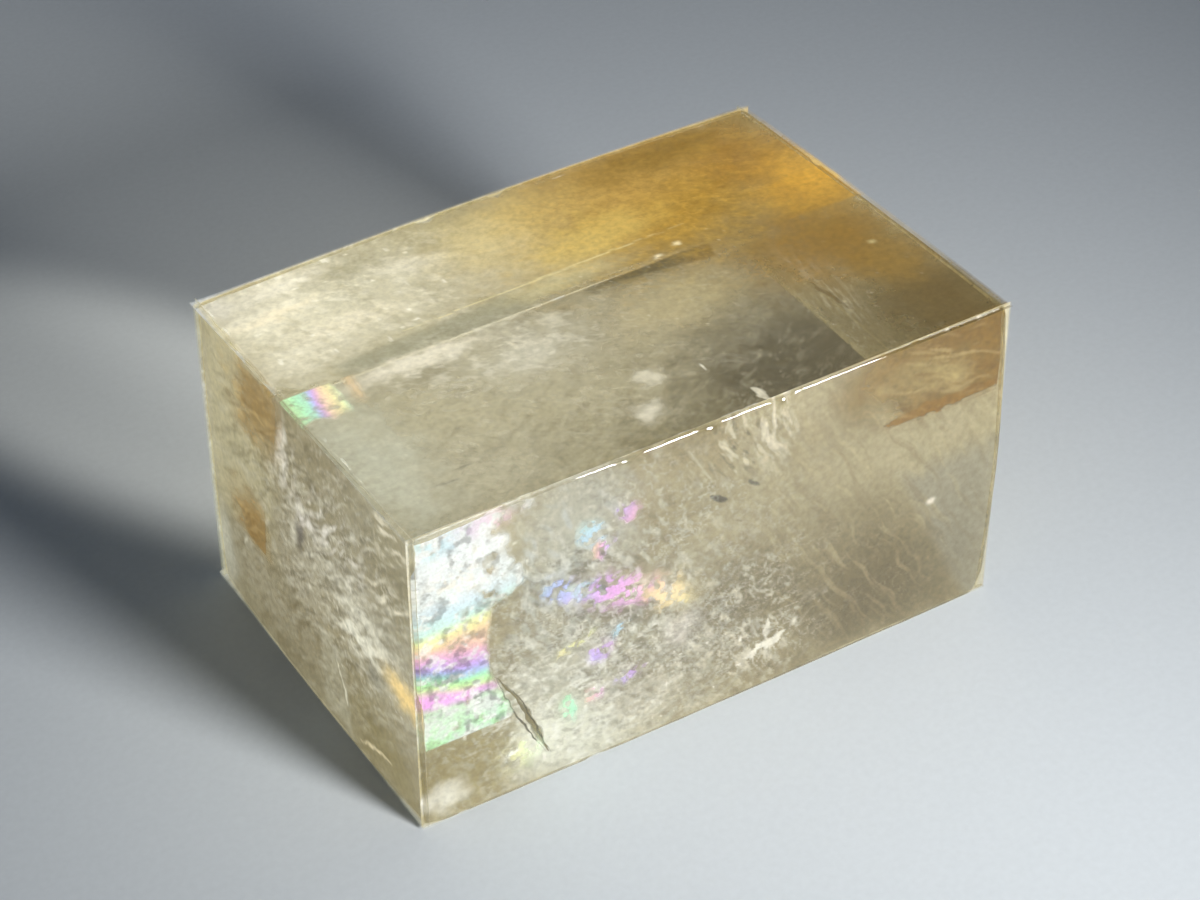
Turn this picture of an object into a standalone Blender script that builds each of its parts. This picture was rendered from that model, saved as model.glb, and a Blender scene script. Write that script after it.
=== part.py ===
"""Calcite specimen: one clear honey-coloured rhomb, polished on all six faces, resting on its base.

Metres, +Z up. The origin lies under the crystal's middle, on the surface it stands on, and +X runs along
its long edge. A place on the crystal is given by three signs of its lattice, each from -1 to +1:
left to right, front to back and base to top.
"""

import math
import random

import bmesh
import bpy
from mathutils import Vector

# Driving dimensions, in metres along the crystal's own edges
LENGTH = 0.0602
DEPTH = 0.0424
SLANT = 0.0321

# Angles between the edges that meet in the front left top corner, where all three faces are blunt.
# Polishing has left the block squarer than a fresh cleavage rhomb, whose angle is 101.9 degrees
LENGTH_TO_DEPTH = math.radians(96.2)
LENGTH_TO_SLANT = math.radians(97.5)
DEPTH_TO_SLANT = math.radians(94.2)

# How far the middle of each hand-polished face stands proud of its rim, by its two directions
RIGHT_BULGE = {"front_to_back": 0.00004, "base_to_top": 0.00071}
LEFT_BULGE = {"front_to_back": 0.00046, "base_to_top": 0.00009}
BACK_BULGE = {"left_to_right": 0.00076, "base_to_top": 0.00006}
FRONT_BULGE = {"left_to_right": 0.00018, "base_to_top": 0.00004}
TOP_BULGE = {"left_to_right": 0.00004, "front_to_back": 0.00030}

# The faces are divided finely enough to follow their bulge
CELL = 0.0042

# The polished edges are worn to a narrow round
EDGE_WEAR = 0.00020
EDGE_WEAR_STEPS = 2
RIM_ANGLE = math.radians(30)
SMOOTH_ANGLE = math.radians(20)

# Facets broken or ground off the corners: lattice signs of the corner, direction that the facet looks
# in along X, Y and Z, and how far below the sharp corner it lies
CORNER_FACETS = {
    "right_front_top": ((1, -1, 1), (1.0, -0.7, 0.6), 0.00042),
    "right_front_base": ((1, -1, -1), (0.9, -0.55, -0.55), 0.00085),
    "right_front_base_side": ((1, -1, -1), (1.0, -0.15, -0.35), 0.00040),
    "left_back_top": ((-1, 1, 1), (-0.40, 0.20, 1.0), 0.00032),
    "left_back_top_side": ((-1, 1, 1), (-1.0, 0.5, 0.35), 0.00042),
    "left_front_base": ((-1, -1, -1), (-0.25, -1.0, -0.3), 0.00050),
    "left_front_top": ((-1, -1, 1), (-0.6, -0.7, 0.5), 0.00030),
    "right_back_top": ((1, 1, 1), (0.8, 0.8, 0.5), 0.00040),
    "right_back_base": ((1, 1, -1), (0.7, 0.7, -0.6), 0.00090),
    "left_back_base": ((-1, 1, -1), (-0.8, 0.6, -0.5), 0.00070),
}

# Shell-shaped chips along the edges: the edge's two end corners as lattice signs, the share of the way
# from the first to the second, the chip's length along the edge and its depth below the sharp edge
EDGE_CHIPS = {
    "front_top_bruise": ((-1, -1, 1), (1, -1, 1), 0.602, 0.0032, 0.00046),
    "front_top_nick": ((-1, -1, 1), (1, -1, 1), 0.335, 0.0040, 0.00028),
    "front_top_small_nick": ((-1, -1, 1), (1, -1, 1), 0.475, 0.0030, 0.00026),
    "back_top_notch": ((-1, 1, 1), (1, 1, 1), 0.405, 0.0030, 0.00040),
    "back_top_small_notch": ((-1, 1, 1), (1, 1, 1), 0.535, 0.0022, 0.00034),
    "left_top_ragged_run": ((-1, 1, 1), (-1, -1, 1), 0.235, 0.0036, 0.00034),
    "left_top_small_nick": ((-1, 1, 1), (-1, -1, 1), 0.390, 0.0028, 0.00032),
    "right_top_nick": ((1, 1, 1), (1, -1, 1), 0.300, 0.0026, 0.00034),
    "left_back_worn_edge": ((-1, 1, 1), (-1, 1, -1), 0.090, 0.0050, 0.00046),
    "front_base_chip": ((-1, -1, -1), (1, -1, -1), 0.062, 0.0026, 0.00040),
    "front_base_long_chip": ((-1, -1, -1), (1, -1, -1), 0.290, 0.0040, 0.00032),
    "right_base_chip": ((1, -1, -1), (1, 1, -1), 0.560, 0.0036, 0.00056),
    "back_base_chip": ((-1, 1, -1), (1, 1, -1), 0.680, 0.0042, 0.00056),
    "right_back_chip": ((1, 1, 1), (1, 1, -1), 0.450, 0.0030, 0.00050),
}
CHIP_ROUNDNESS = 2
CHIP_JITTER = 0.012
CHIP_SEED = 11

# Colour and gloss of the clear honey calcite
HONEY = (0.77, 0.66, 0.40, 1.0)
CALCITE_IOR = 1.6
POLISH_ROUGHNESS = 0.04


def lattice_axes():
    """Unit vectors along the long edge, the edge that runs back and the edge that runs down."""
    along = Vector((1.0, 0.0, 0.0))
    back = Vector((math.cos(LENGTH_TO_DEPTH), math.sin(LENGTH_TO_DEPTH), 0.0))
    lean_x = math.cos(LENGTH_TO_SLANT)
    lean_y = (math.cos(DEPTH_TO_SLANT) - lean_x * back.x) / back.y
    down = Vector((lean_x, lean_y, -math.sqrt(1.0 - lean_x * lean_x - lean_y * lean_y)))
    return along, back, down


ALONG, BACK, DOWN = lattice_axes()
HEIGHT = -DOWN.z * SLANT


def crystal_point(x, y, z):
    """Place in metres of three lattice signs, with every face but the base drawn in towards its rim."""
    side = RIGHT_BULGE if x > 0 else LEFT_BULGE
    half_length = LENGTH / 2 - side["front_to_back"] * y * y - side["base_to_top"] * z * z
    side = BACK_BULGE if y > 0 else FRONT_BULGE
    half_depth = DEPTH / 2 - side["left_to_right"] * x * x - side["base_to_top"] * z * z
    crown = TOP_BULGE["left_to_right"] * x * x + TOP_BULGE["front_to_back"] * y * y
    half_slant = SLANT / 2 - max(z, 0.0) * crown
    middle = Vector((0.0, 0.0, HEIGHT / 2))
    return middle + ALONG * x * half_length + BACK * y * half_depth - DOWN * z * half_slant


def divide_faces(mesh):
    """Cuts the unit cube by parallel planes, so that each cell comes out about CELL wide on the crystal."""
    for axis, extent in enumerate((LENGTH, DEPTH, SLANT)):
        cells = round(extent / CELL)
        normal = Vector((0.0, 0.0, 0.0))
        normal[axis] = 1.0
        for step in range(1, cells):
            everything = mesh.verts[:] + mesh.edges[:] + mesh.faces[:]
            place = normal * (2.0 * step / cells - 1.0)
            bmesh.ops.bisect_plane(mesh, geom=everything, plane_co=place, plane_no=normal, dist=1e-7)


def wear_edges(mesh):
    """Rounds the long edges between two faces by a narrow bevel."""
    rim = [edge for edge in mesh.edges if edge.calc_face_angle(0.0) > RIM_ANGLE]
    bmesh.ops.bevel(mesh, geom=rim, offset=EDGE_WEAR, offset_type="OFFSET",
                    segments=EDGE_WEAR_STEPS, profile=0.5, affect="EDGES", clamp_overlap=True)


def cut_corner(mesh, corner, look, depth):
    """Takes off what lies beyond a plane near a corner, and closes the flat facet that it leaves."""
    look = Vector(look).normalized()
    place = crystal_point(*corner) - look * depth
    everything = mesh.verts[:] + mesh.edges[:] + mesh.faces[:]
    bmesh.ops.bisect_plane(mesh, geom=everything, plane_co=place, plane_no=look,
                           dist=1e-6, clear_outer=True)
    open_rim = [edge for edge in mesh.edges if edge.is_boundary]
    bmesh.ops.holes_fill(mesh, edges=open_rim, sides=0)


def make_crystal():
    """The rhomb with its bulging faces, worn edges and corner facets."""
    mesh = bmesh.new()
    bmesh.ops.create_cube(mesh, size=2.0)
    divide_faces(mesh)
    for vertex in mesh.verts:
        vertex.co = crystal_point(*vertex.co)
    wear_edges(mesh)
    for corner, look, depth in CORNER_FACETS.values():
        cut_corner(mesh, corner, look, depth)
    bmesh.ops.recalc_face_normals(mesh, faces=mesh.faces[:])
    data = bpy.data.meshes.new("calcite_rhomb")
    mesh.to_mesh(data)
    mesh.free()
    crystal = bpy.data.objects.new("calcite_rhomb", data)
    bpy.context.scene.collection.objects.link(crystal)
    return crystal


def chip_cutter(name, first, second, share, length, depth, jitter):
    """A lumpy ball that reaches depth below the edge and length along it, for one shell-shaped chip."""
    spot = [a + (b - a) * share for a, b in zip(first, second)]
    outward = Vector([0.5 * (a + b) for a, b in zip(first, second)])
    edge_point = crystal_point(*spot)
    away = crystal_point(*(s * 1.1 if o else s for s, o in zip(spot, outward))) - edge_point
    radius = (length * length / 4 + depth * depth) / (2 * depth)
    mesh = bmesh.new()
    bmesh.ops.create_icosphere(mesh, subdivisions=CHIP_ROUNDNESS, radius=radius)
    for vertex in mesh.verts:
        swing = [jitter.uniform(-CHIP_JITTER, CHIP_JITTER) * radius for _ in range(3)]
        vertex.co += Vector(swing)
    data = bpy.data.meshes.new(name)
    mesh.to_mesh(data)
    mesh.free()
    cutter = bpy.data.objects.new(name, data)
    cutter.location = edge_point + away.normalized() * (radius - depth)
    cutter.hide_render = True
    cutter.display_type = "WIRE"
    bpy.context.scene.collection.objects.link(cutter)
    return cutter


def chip_edges(crystal):
    """Scoops each chip out of the worn edges."""
    jitter = random.Random(CHIP_SEED)
    for name, (first, second, share, length, depth) in EDGE_CHIPS.items():
        modifier = crystal.modifiers.new(name, "BOOLEAN")
        modifier.operation = "DIFFERENCE"
        modifier.solver = "EXACT"
        modifier.object = chip_cutter(name, first, second, share, length, depth, jitter)


def honey_calcite():
    """Clear pale honey calcite under a hand polish."""
    material = bpy.data.materials.new("honey_calcite")
    material.use_nodes = True
    shader = material.node_tree.nodes["Principled BSDF"]
    shader.inputs["Base Color"].default_value = HONEY
    shader.inputs["Metallic"].default_value = 0.0
    shader.inputs["Roughness"].default_value = POLISH_ROUGHNESS
    shader.inputs["IOR"].default_value = CALCITE_IOR
    shader.inputs["Transmission Weight"].default_value = 1.0
    return material


def main():
    for old in list(bpy.data.objects):
        bpy.data.objects.remove(old, do_unlink=True)
    crystal = make_crystal()
    chip_edges(crystal)
    crystal.data.materials.append(honey_calcite())
    crystal.data.shade_smooth()
    crystal.data.set_sharp_from_angle(angle=SMOOTH_ANGLE)


main()
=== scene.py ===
"""Calcite specimen: the looks of one clear, honey-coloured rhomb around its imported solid.

Metres, +Z up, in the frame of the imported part. A place in the crystal is given by three lattice signs,
each from -1 to +1: left to right, front to back and base to top. A place on a face is given in
millimetres along the face from the corner that FACE_FRAMES names.
"""

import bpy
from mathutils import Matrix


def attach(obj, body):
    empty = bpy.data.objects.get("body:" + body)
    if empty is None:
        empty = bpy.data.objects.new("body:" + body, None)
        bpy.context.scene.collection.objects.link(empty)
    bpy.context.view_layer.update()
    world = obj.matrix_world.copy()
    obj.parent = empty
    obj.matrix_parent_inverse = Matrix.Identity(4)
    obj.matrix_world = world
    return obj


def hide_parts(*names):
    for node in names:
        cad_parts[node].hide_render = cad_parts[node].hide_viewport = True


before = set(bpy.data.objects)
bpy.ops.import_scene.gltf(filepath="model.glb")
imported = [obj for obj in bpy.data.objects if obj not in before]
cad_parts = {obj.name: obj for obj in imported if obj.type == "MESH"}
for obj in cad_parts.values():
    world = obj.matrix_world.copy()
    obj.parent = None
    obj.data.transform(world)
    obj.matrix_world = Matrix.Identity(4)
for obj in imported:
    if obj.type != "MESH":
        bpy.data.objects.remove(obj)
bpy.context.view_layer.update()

import math

import bpy
import numpy as np
from mathutils import Matrix, Vector

bl_info = {
    "name": "Calcite Specimen",
    "version": (1, 0, 0),
    "blender": (4, 2, 0),
    "location": "3D View > Sidebar > Calcite",
    "description": "Clear honey calcite rhomb with its veils, stained films and rainbow fracture",
    "category": "Add Mesh",
}

MM = 0.001

# The crystal's own edges, and the angles between them in the front left top corner
LENGTH = 60.2 * MM
DEPTH = 42.4 * MM
SLANT = 32.1 * MM
LENGTH_TO_DEPTH = math.radians(96.2)
LENGTH_TO_SLANT = math.radians(97.5)
DEPTH_TO_SLANT = math.radians(94.2)

# How far the middle of each hand-polished face stands proud of its rim, by its two directions
BULGE = {
    "right": (0.04 * MM, 0.71 * MM),
    "left": (0.46 * MM, 0.09 * MM),
    "back": (0.76 * MM, 0.06 * MM),
    "front": (0.18 * MM, 0.04 * MM),
    "top": (0.04 * MM, 0.30 * MM),
    "base": (0.0, 0.0),
}

# Facets broken or ground off the corners: lattice signs of the corner, direction that the facet looks
# in, and how far below the sharp corner it lies
CORNER_FACETS = {
    "right_front_top": ((1, -1, 1), (1.0, -0.7, 0.6), 0.42 * MM),
    "right_front_base": ((1, -1, -1), (0.9, -0.55, -0.55), 0.85 * MM),
    "right_front_base_side": ((1, -1, -1), (1.0, -0.15, -0.35), 0.40 * MM),
    "left_back_top": ((-1, 1, 1), (-0.40, 0.20, 1.0), 0.32 * MM),
    "left_back_top_side": ((-1, 1, 1), (-1.0, 0.5, 0.35), 0.42 * MM),
    "left_front_base": ((-1, -1, -1), (-0.25, -1.0, -0.3), 0.50 * MM),
    "left_front_top": ((-1, -1, 1), (-0.6, -0.7, 0.5), 0.30 * MM),
    "right_back_top": ((1, 1, 1), (0.8, 0.8, 0.5), 0.40 * MM),
    "right_back_base": ((1, 1, -1), (0.7, 0.7, -0.6), 0.90 * MM),
    "left_back_base": ((-1, 1, -1), (-0.8, 0.6, -0.5), 0.70 * MM),
}

# Shell-shaped chips along the edges: the edge's two end corners, the share of the way from the first
# to the second, the chip's length along the edge and its depth below the sharp edge
EDGE_CHIPS = {
    "front_top_bruise": ((-1, -1, 1), (1, -1, 1), 0.602, 3.2 * MM, 0.46 * MM),
    "front_top_nick": ((-1, -1, 1), (1, -1, 1), 0.335, 4.0 * MM, 0.28 * MM),
    "front_top_small_nick": ((-1, -1, 1), (1, -1, 1), 0.475, 3.0 * MM, 0.26 * MM),
    "back_top_notch": ((-1, 1, 1), (1, 1, 1), 0.405, 3.0 * MM, 0.40 * MM),
    "back_top_small_notch": ((-1, 1, 1), (1, 1, 1), 0.535, 2.2 * MM, 0.34 * MM),
    "left_top_ragged_run": ((-1, 1, 1), (-1, -1, 1), 0.235, 3.6 * MM, 0.34 * MM),
    "left_top_small_nick": ((-1, 1, 1), (-1, -1, 1), 0.390, 2.8 * MM, 0.32 * MM),
    "right_top_nick": ((1, 1, 1), (1, -1, 1), 0.300, 2.6 * MM, 0.34 * MM),
    "left_back_worn_edge": ((-1, 1, 1), (-1, 1, -1), 0.090, 5.0 * MM, 0.46 * MM),
    "front_base_chip": ((-1, -1, -1), (1, -1, -1), 0.062, 2.6 * MM, 0.40 * MM),
    "front_base_long_chip": ((-1, -1, -1), (1, -1, -1), 0.290, 4.0 * MM, 0.32 * MM),
    "right_base_chip": ((1, -1, -1), (1, 1, -1), 0.560, 3.6 * MM, 0.56 * MM),
    "back_base_chip": ((-1, 1, -1), (1, 1, -1), 0.680, 4.2 * MM, 0.56 * MM),
    "right_back_chip": ((1, 1, 1), (1, 1, -1), 0.450, 3.0 * MM, 0.50 * MM),
}

# Edge wear, and the polish's faint waves
EDGE_ROUND_SWING = 0.07 * MM
EDGE_CRUMBLE = 0.04 * MM
POLISH_WAVE = 0.0035 * MM
POLISH_WAVE_LENGTH = 7.0 * MM

# Grid of the skin: cells along the flat of a face, and finer ones beside each edge
FLAT_CELL = 0.42 * MM
RIM_WIDTH = 0.55 * MM
RIM_CELLS = 8

# Grids of the smaller veils, in millimetres, and how far from a face's rim its haze rises towards it
VEIL_CELL = 0.2
RAINBOW_CELL = 0.12
HAZE_RISE = 2.5

# Millimetres that the haze keeps from a face's rim, its depth there, and the width over which it fades
HAZE_MARGIN = 0.08
HAZE_RIM_DEPTH = 0.15
HAZE_RIM_FADE = 0.15

# The camera of the photograph: place in metres, where it looks and what it holds upright
CAMERA_PLACE = (-0.06835, -0.16775, 0.17365)
CAMERA_LOOK = (0.28649, 0.69581, -0.65861)
CAMERA_UP = (0.35145, 0.56318, 0.74787)
CAMERA_LENS = 75.2
CAMERA_SENSOR = 36.0

# Where the lamps stand and what they point at
KEY_PLACE = (0.069, -0.189, 0.094)
KEY_AIM = (-0.560, 1.480, 0.0)
KEY_COLOUR = (1.0, 0.985, 0.955)

# Lamps that light the veils alone, from the front, the left and the back: place and power
VEIL_LAMPS = {
    "veil_window_front": ((0.120, -0.300, 0.200), 1.14),
    "veil_window_left": ((-0.320, -0.060, 0.180), 2.4),
    "veil_window_back": ((0.160, 0.280, 0.200), 1.2),
}
VEIL_LAMP_AIM = (0.0, 0.0, 0.015)
VEIL_LAMP_SIZE = 0.12
VEIL_LAMP_COLOUR = (0.70, 0.80, 1.0)

# Lamps for the light that the crystal passes on to the table: place, aim, cone in degrees, softness of
# its rim, and power in watts
PASSED_LIGHT = {
    "passed_on_beam": ((0.106, -0.183, 0.094), (-0.028, 0.043, 0.0), 7.0, 0.60, 4.2),
    "passed_on_spread": ((0.069, -0.189, 0.094), (-0.010, 0.068, 0.0), 12.5, 1.00, 2.3),
}
PASSED_COLOUR = (1.0, 0.955, 0.85)
PASSED_LAMP_RADIUS = 0.004

# Half the tabletop's width, and how far it lies below the base, so that the two don't share a plane
TABLE_REACH = 0.9
TABLE_DROP = 0.0001

# Each face's corner as lattice signs, then the axis and way of its first and second direction
FACE_FRAMES = {
    "front": ((-1, -1, 1), (0, 1), (2, -1)),
    "top": ((-1, 1, 1), (0, 1), (1, -1)),
    "left": ((-1, 1, 1), (1, -1), (2, -1)),
    "right": ((1, -1, 1), (1, 1), (2, -1)),
    "back": ((1, 1, 1), (0, -1), (2, -1)),
    "base": ((-1, -1, -1), (0, 1), (1, 1)),
}

# The haze below each face: its pale and its deep tone, cover, depth in millimetres, the way its grain
# runs in degrees and the cell of its grid
HAZE = {
    "front": ("#B1A88A", "#8D8262", 0.80, 0.7, 55.0, 0.15),
    "top": ("#CFC9B2", "#A8A084", 0.17, 0.7, 30.0, 0.2),
    "left": ("#ADA58C", "#8F8466", 0.76, 0.7, -35.0, 0.2),
    "right": ("#AC9F76", "#7E7149", 0.58, 0.8, 40.0, 0.26),
    "back": ("#C2B88F", "#9A8A5C", 0.60, 0.8, -40.0, 0.26),
    "base": ("#B9B196", "#8E8568", 0.86, 0.6, 20.0, 0.26),
}

# Marks in each veil, one over another. Millimetres on the face, then cover and colour.
# cloud: middle, width, height, turn, raggedness. patch: corners, each with the softness of the side
# that starts there. streak: two ends, width, wander. feathers: middle, width, height, turn, length and
# width of a wisp, share. specks: middle, width, height, size, share. crackle: middle, width, height,
# size of its meshes, width of its lines
# Some marks are painted light and shade, as the comments beside them say
VEIL_MARKS = {
    "front": (
        ("cloud", (36, 12, 22, 14, 20, 2.5), 0.45, "#ADA68A"),
        ("cloud", (50, 12, 20, 7, 8, 2.0), 0.60, "#B5AC8D"),
        ("cloud", (47, 26.5, 22, 13, 10, 2.5), 0.85, "#665A3C"),
        ("cloud", (44, 19, 18, 12, 10, 2.5), 0.50, "#7F7352"),
        ("cloud", (33, 21, 11, 12, 0, 2.0), 0.75, "#746B50"),
        ("patch", ((48.5, 13.8, 2.5), (60.2, 13.2, 0.3), (60.2, 32.1, 0.3), (57.2, 32.1, 1.2)),
         0.70, "#969281"),
        ("cloud", (42, 5, 6, 12, 25, 1.5), 0.45, "#9B9072"),
        ("cloud", (16, 6, 11, 15, 0, 2.0), 0.70, "#BCBCB2"),
        ("cloud", (18, 22, 20, 20, 0, 3.0), 0.45, "#ABABA1"),
        ("cloud", (5, 27.5, 14, 9, 0, 0.8), 0.85, "#9C8F63"),
        ("cloud", (16, 28, 12, 9, 0, 2.0), 0.85, "#DEDFD4"),
        ("cloud", (12, 26.5, 4, 7, -15, 0.8), 0.60, "#F1F1E6"),
        ("cloud", (23, 28, 8, 6, 0, 1.5), 0.50, "#D6CFBD"),
        ("feathers", (32, 24, 16, 16, -40, 2.2, 0.4, 0.36), 0.50, "#C8C5B9"),
        ("feathers", (20, 22, 22, 20, 35, 1.3, 0.45, 0.42), 0.55, "#75705F"),
        ("feathers", (19, 25, 20, 14, -20, 1.0, 0.45, 0.40), 0.70, "#DFE0DA"),
        ("feathers", (14, 8, 12, 20, 60, 2.0, 0.7, 0.45), 0.75, "#BCC0BE"),
        ("feathers", (15, 12, 14, 16, 30, 1.4, 0.6, 0.40), 0.65, "#676354"),
        ("feathers", (45, 16, 30, 30, 58, 5.0, 0.45, 0.38), 0.40, "#BDB08C"),
        ("feathers", (46, 18, 28, 28, 58, 6.0, 0.5, 0.38), 0.42, "#6F6346"),
        ("feathers", (32.5, 4, 9, 7, 60, 1.6, 0.35, 0.50), 0.85, "#5B553D"),
        ("feathers", (32.5, 4, 9, 7, 60, 1.8, 0.40, 0.42), 0.80, "#CFC9B4"),
        ("feathers", (26, 3.8, 3, 3, 60, 1.2, 0.3, 0.5), 0.60, "#756E56"),
        ("feathers", (36, 3, 4, 8, 75, 2.4, 0.40, 0.50), 0.75, "#E2DCCB"),
        ("cloud", (26.5, 21.5, 4, 3.6, -20, 0.8), 0.75, "#CAC4BF"),
        ("streak", (33.0, 28.3, 37.8, 27.0, 0.9, 0.6), 0.95, "#F6F3EA"),
        ("cloud", (38.6, 26.3, 0.8, 0.9, 0, 0.4), 0.85, "#F2EFE6"),
        ("feathers", (35.4, 27.4, 5, 5, 70, 1.4, 0.4, 0.50), 0.80, "#EDEAE0"),
        ("streak", (35.6, 24.8, 35.9, 26.8, 0.8, 0.4), 0.90, "#F4F1E8"),
        ("streak", (29.2, 8.2, 31.0, 9.4, 0.80, 0.3), 0.95, "#453F2E"),
        ("streak", (33.0, 8.2, 34.4, 9.1, 0.60, 0.3), 0.90, "#4C4633"),
        ("streak", (31.5, 11.6, 33.0, 12.4, 0.25, 0.2), 0.60, "#635E4B"),
        ("feathers", (19, 20, 24, 26, 20, 1.3, 0.60, 0.42), 0.55, "#5E5946"),
        ("feathers", (17, 18, 24, 30, 60, 1.2, 0.60, 0.38), 0.60, "#DEDFD8"),
        ("feathers", (16, 24, 22, 16, -10, 0.8, 0.45, 0.36), 0.75, "#F1F1EC"),
        ("cloud", (21, 17.4, 8, 2.6, 20, 1.2), 0.55, "#5A523C"),
        ("cloud", (22, 26, 8, 6, 0, 1.8), 0.35, "#857B60"),
        ("cloud", (13, 20.5, 8, 4, 0, 1.4), 0.35, "#D6D6CC"),
        ("feathers", (33, 24, 14, 18, 30, 1.1, 0.55, 0.38), 0.45, "#5F573F"),
        ("feathers", (33, 24, 12, 18, 50, 1.0, 0.50, 0.36), 0.60, "#E2DDCE"),
        ("crackle", (18, 16, 34, 34, 1.1, 0.10), 0.35, "#625E4A"),
        ("crackle", (18, 16, 34, 34, 0.8, 0.12), 0.40, "#E4E4DC"),
        ("crackle", (20, 21, 26, 22, 0.6, 0.16), 0.60, "#F0EFE8"),
        ("crackle", (34, 24, 16, 18, 0.7, 0.14), 0.55, "#E6E1D2"),
        ("crackle", (34, 24, 18, 18, 0.9, 0.12), 0.50, "#68614B"),
        ("crackle", (45, 16, 34, 34, 1.3, 0.10), 0.22, "#72684D"),
        ("crackle", (45, 16, 34, 34, 1.0, 0.10), 0.20, "#C8C0A6"),
        ("specks", (23, 28, 22, 7, 0.7, 0.10), 0.90, "#F3F0EA"),
        ("specks", (13, 16, 18, 24, 0.6, 0.07), 0.85, "#F0EEE4"),
        ("specks", (43, 19, 28, 22, 0.5, 0.03), 0.60, "#CEC6B0"),
        # Tiny white dot: a painted glint
        ("cloud", (53.1, 19.0, 0.8, 0.7, 0, 0.1), 1.00, "#FFF8EC"),
        ("cloud", (2.6, 29.6, 4, 3, 0, 0.8), 0.85, "#EFEDE4"),
    ),
    "top": (
        # Pale cream clouds near the back-left edge: painted reflection, the brighter light that the back
        # face sends up through the top
        ("cloud", (13, 8, 30, 17, 4, 2.5), 0.78, "#DCD6C1"),
        ("cloud", (5, 6.5, 9, 6, 0, 1.2), 0.75, "#F4EEDD"),
        ("cloud", (8, 1.8, 7, 3, 0, 0.8), 0.75, "#F1EBDC"),
        ("cloud", (5, 14, 10, 6, 0, 1.5), 0.60, "#EFE9D8"),
        ("cloud", (28, 5, 16, 10, 20, 2.0), 0.55, "#B5A981"),
        ("cloud", (33, 13, 14, 5, 0, 1.0), 0.50, "#D3CAA4"),
        # Gold clouds at the back right: painted light, the table under the crystal lit amber through the
        # block, seen by way of the back face
        ("cloud", (45, 11, 24, 22, -10, 2.0), 0.72, "#B3903F"),
        ("cloud", (40, 8, 16, 10, 20, 2.0), 0.50, "#A98A45"),
        ("cloud", (44, 12, 14, 10, -20, 1.5), 0.62, "#BD9638"),
        ("cloud", (55, 9, 10, 10, 0, 1.5), 0.55, "#B08432"),
        ("patch", ((50, 13.6, 0.8), (60, 13.2, 0.5), (60, 20.4, 0.5), (50, 20.0, 3.5)), 0.62, "#CDA03F"),
        ("cloud", (50, 2, 18, 4, 0, 1.5), 0.55, "#8D6F2D"),
        # Dark clouds at the right: painted shade, the shadowed table under the crystal seen through the top
        ("cloud", (54.5, 25, 10, 12, 0, 1.5), 0.45, "#8E7B48"),
        ("cloud", (57.5, 34, 8, 14, 0, 1.5), 0.40, "#6E6040"),
        ("cloud", (22, 24, 16, 9, 0, 2.0), 0.48, "#C9C4B4"),
        ("cloud", (13, 21, 14, 5, 0, 1.5), 0.40, "#C6BFA9"),
        ("cloud", (38, 24, 10, 6, 20, 1.5), 0.40, "#B3A887"),
        # More painted reflection of the back face's light near the back-left edge
        ("feathers", (12, 9, 26, 18, 35, 1.6, 0.7, 0.42), 0.45, "#F5F0E2"),
        ("cloud", (8.5, 2.8, 9, 1.5, -8, 0.7), 0.75, "#F8F2E4"),
        ("cloud", (5.5, 6.6, 8, 1.7, -4, 0.8), 0.80, "#FBF0D8"),
        ("cloud", (11, 11.6, 10, 3.2, 0, 1.2), 0.65, "#F3EBD8"),
        ("cloud", (20, 6.4, 6, 2.8, 15, 1.0), 0.60, "#EFE9DA"),
        ("cloud", (14.5, 3.6, 5, 2.6, 0, 1.0), 0.55, "#ABA488"),
        ("cloud", (3.4, 4.6, 5, 1.2, -5, 0.6), 0.50, "#ADA588"),
        ("feathers", (12, 9, 26, 18, 65, 1.8, 0.7, 0.40), 0.40, "#ADA588"),
        # Gold feathers: more of that painted light of the lit table
        ("feathers", (44, 12, 34, 22, 20, 1.6, 0.6, 0.42), 0.38, "#D2AE55"),
        ("feathers", (46, 8, 30, 16, 25, 1.4, 0.5, 0.42), 0.45, "#8B6B2B"),
        ("feathers", (22, 31, 40, 22, 30, 1.2, 0.5, 0.36), 0.22, "#D2CCB9"),
        ("feathers", (24, 31, 40, 22, 30, 1.2, 0.5, 0.34), 0.22, "#726A50"),
        ("cloud", (21.5, 24.8, 6, 3.2, -10, 1.0), 0.55, "#DAD6C9"),
        ("cloud", (26, 21.5, 2, 2, 0, 0.5), 0.60, "#E8E3D4"),
        ("cloud", (28.5, 33.5, 2.4, 1.8, 0, 0.9), 0.65, "#E6E0D0"),
        ("cloud", (26, 37.5, 2.6, 2.2, 0, 0.9), 0.72, "#ECE6D8"),
        ("streak", (33.0, 34.0, 33.2, 35.6, 0.3, 0.1), 0.90, "#F5F1E4"),
        ("streak", (35.0, 39.4, 35.2, 42.0, 0.9, 0.3), 0.85, "#E6E0D0"),
        ("streak", (8.0, 35.6, 10.4, 35.4, 0.34, 0.15), 0.90, "#3F3A2C"),
        ("streak", (5.2, 36.6, 8.0, 36.7, 0.34, 0.15), 0.90, "#3F3A2C"),
        ("streak", (47.6, 29.0, 48.6, 34.8, 0.7, 0.4), 0.60, "#5B5138"),
        ("crackle", (13, 9, 28, 20, 1.4, 0.08), 0.35, "#FAF4E4"),
        ("crackle", (16, 8, 32, 18, 1.3, 0.09), 0.45, "#9B937A"),
        ("cloud", (3, 3, 7, 7, 0, 1.5), 0.60, "#DFDACD"),
        # More gold clouds along the back: painted light of the table lit through the block
        ("cloud", (28, 7, 10, 9, 0, 2.0), 0.70, "#DDCE9F"),
        ("cloud", (34.5, 5.5, 10, 8, 0, 2.0), 0.72, "#D5BD7C"),
        ("cloud", (36, 12, 14, 6, -8, 1.5), 0.74, "#DCC375"),
        ("cloud", (43, 6, 12, 9, 0, 2.0), 0.62, "#CBAA62"),
        ("cloud", (57.5, 14, 6, 9, 0, 1.5), 0.72, "#DFB250"),
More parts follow.
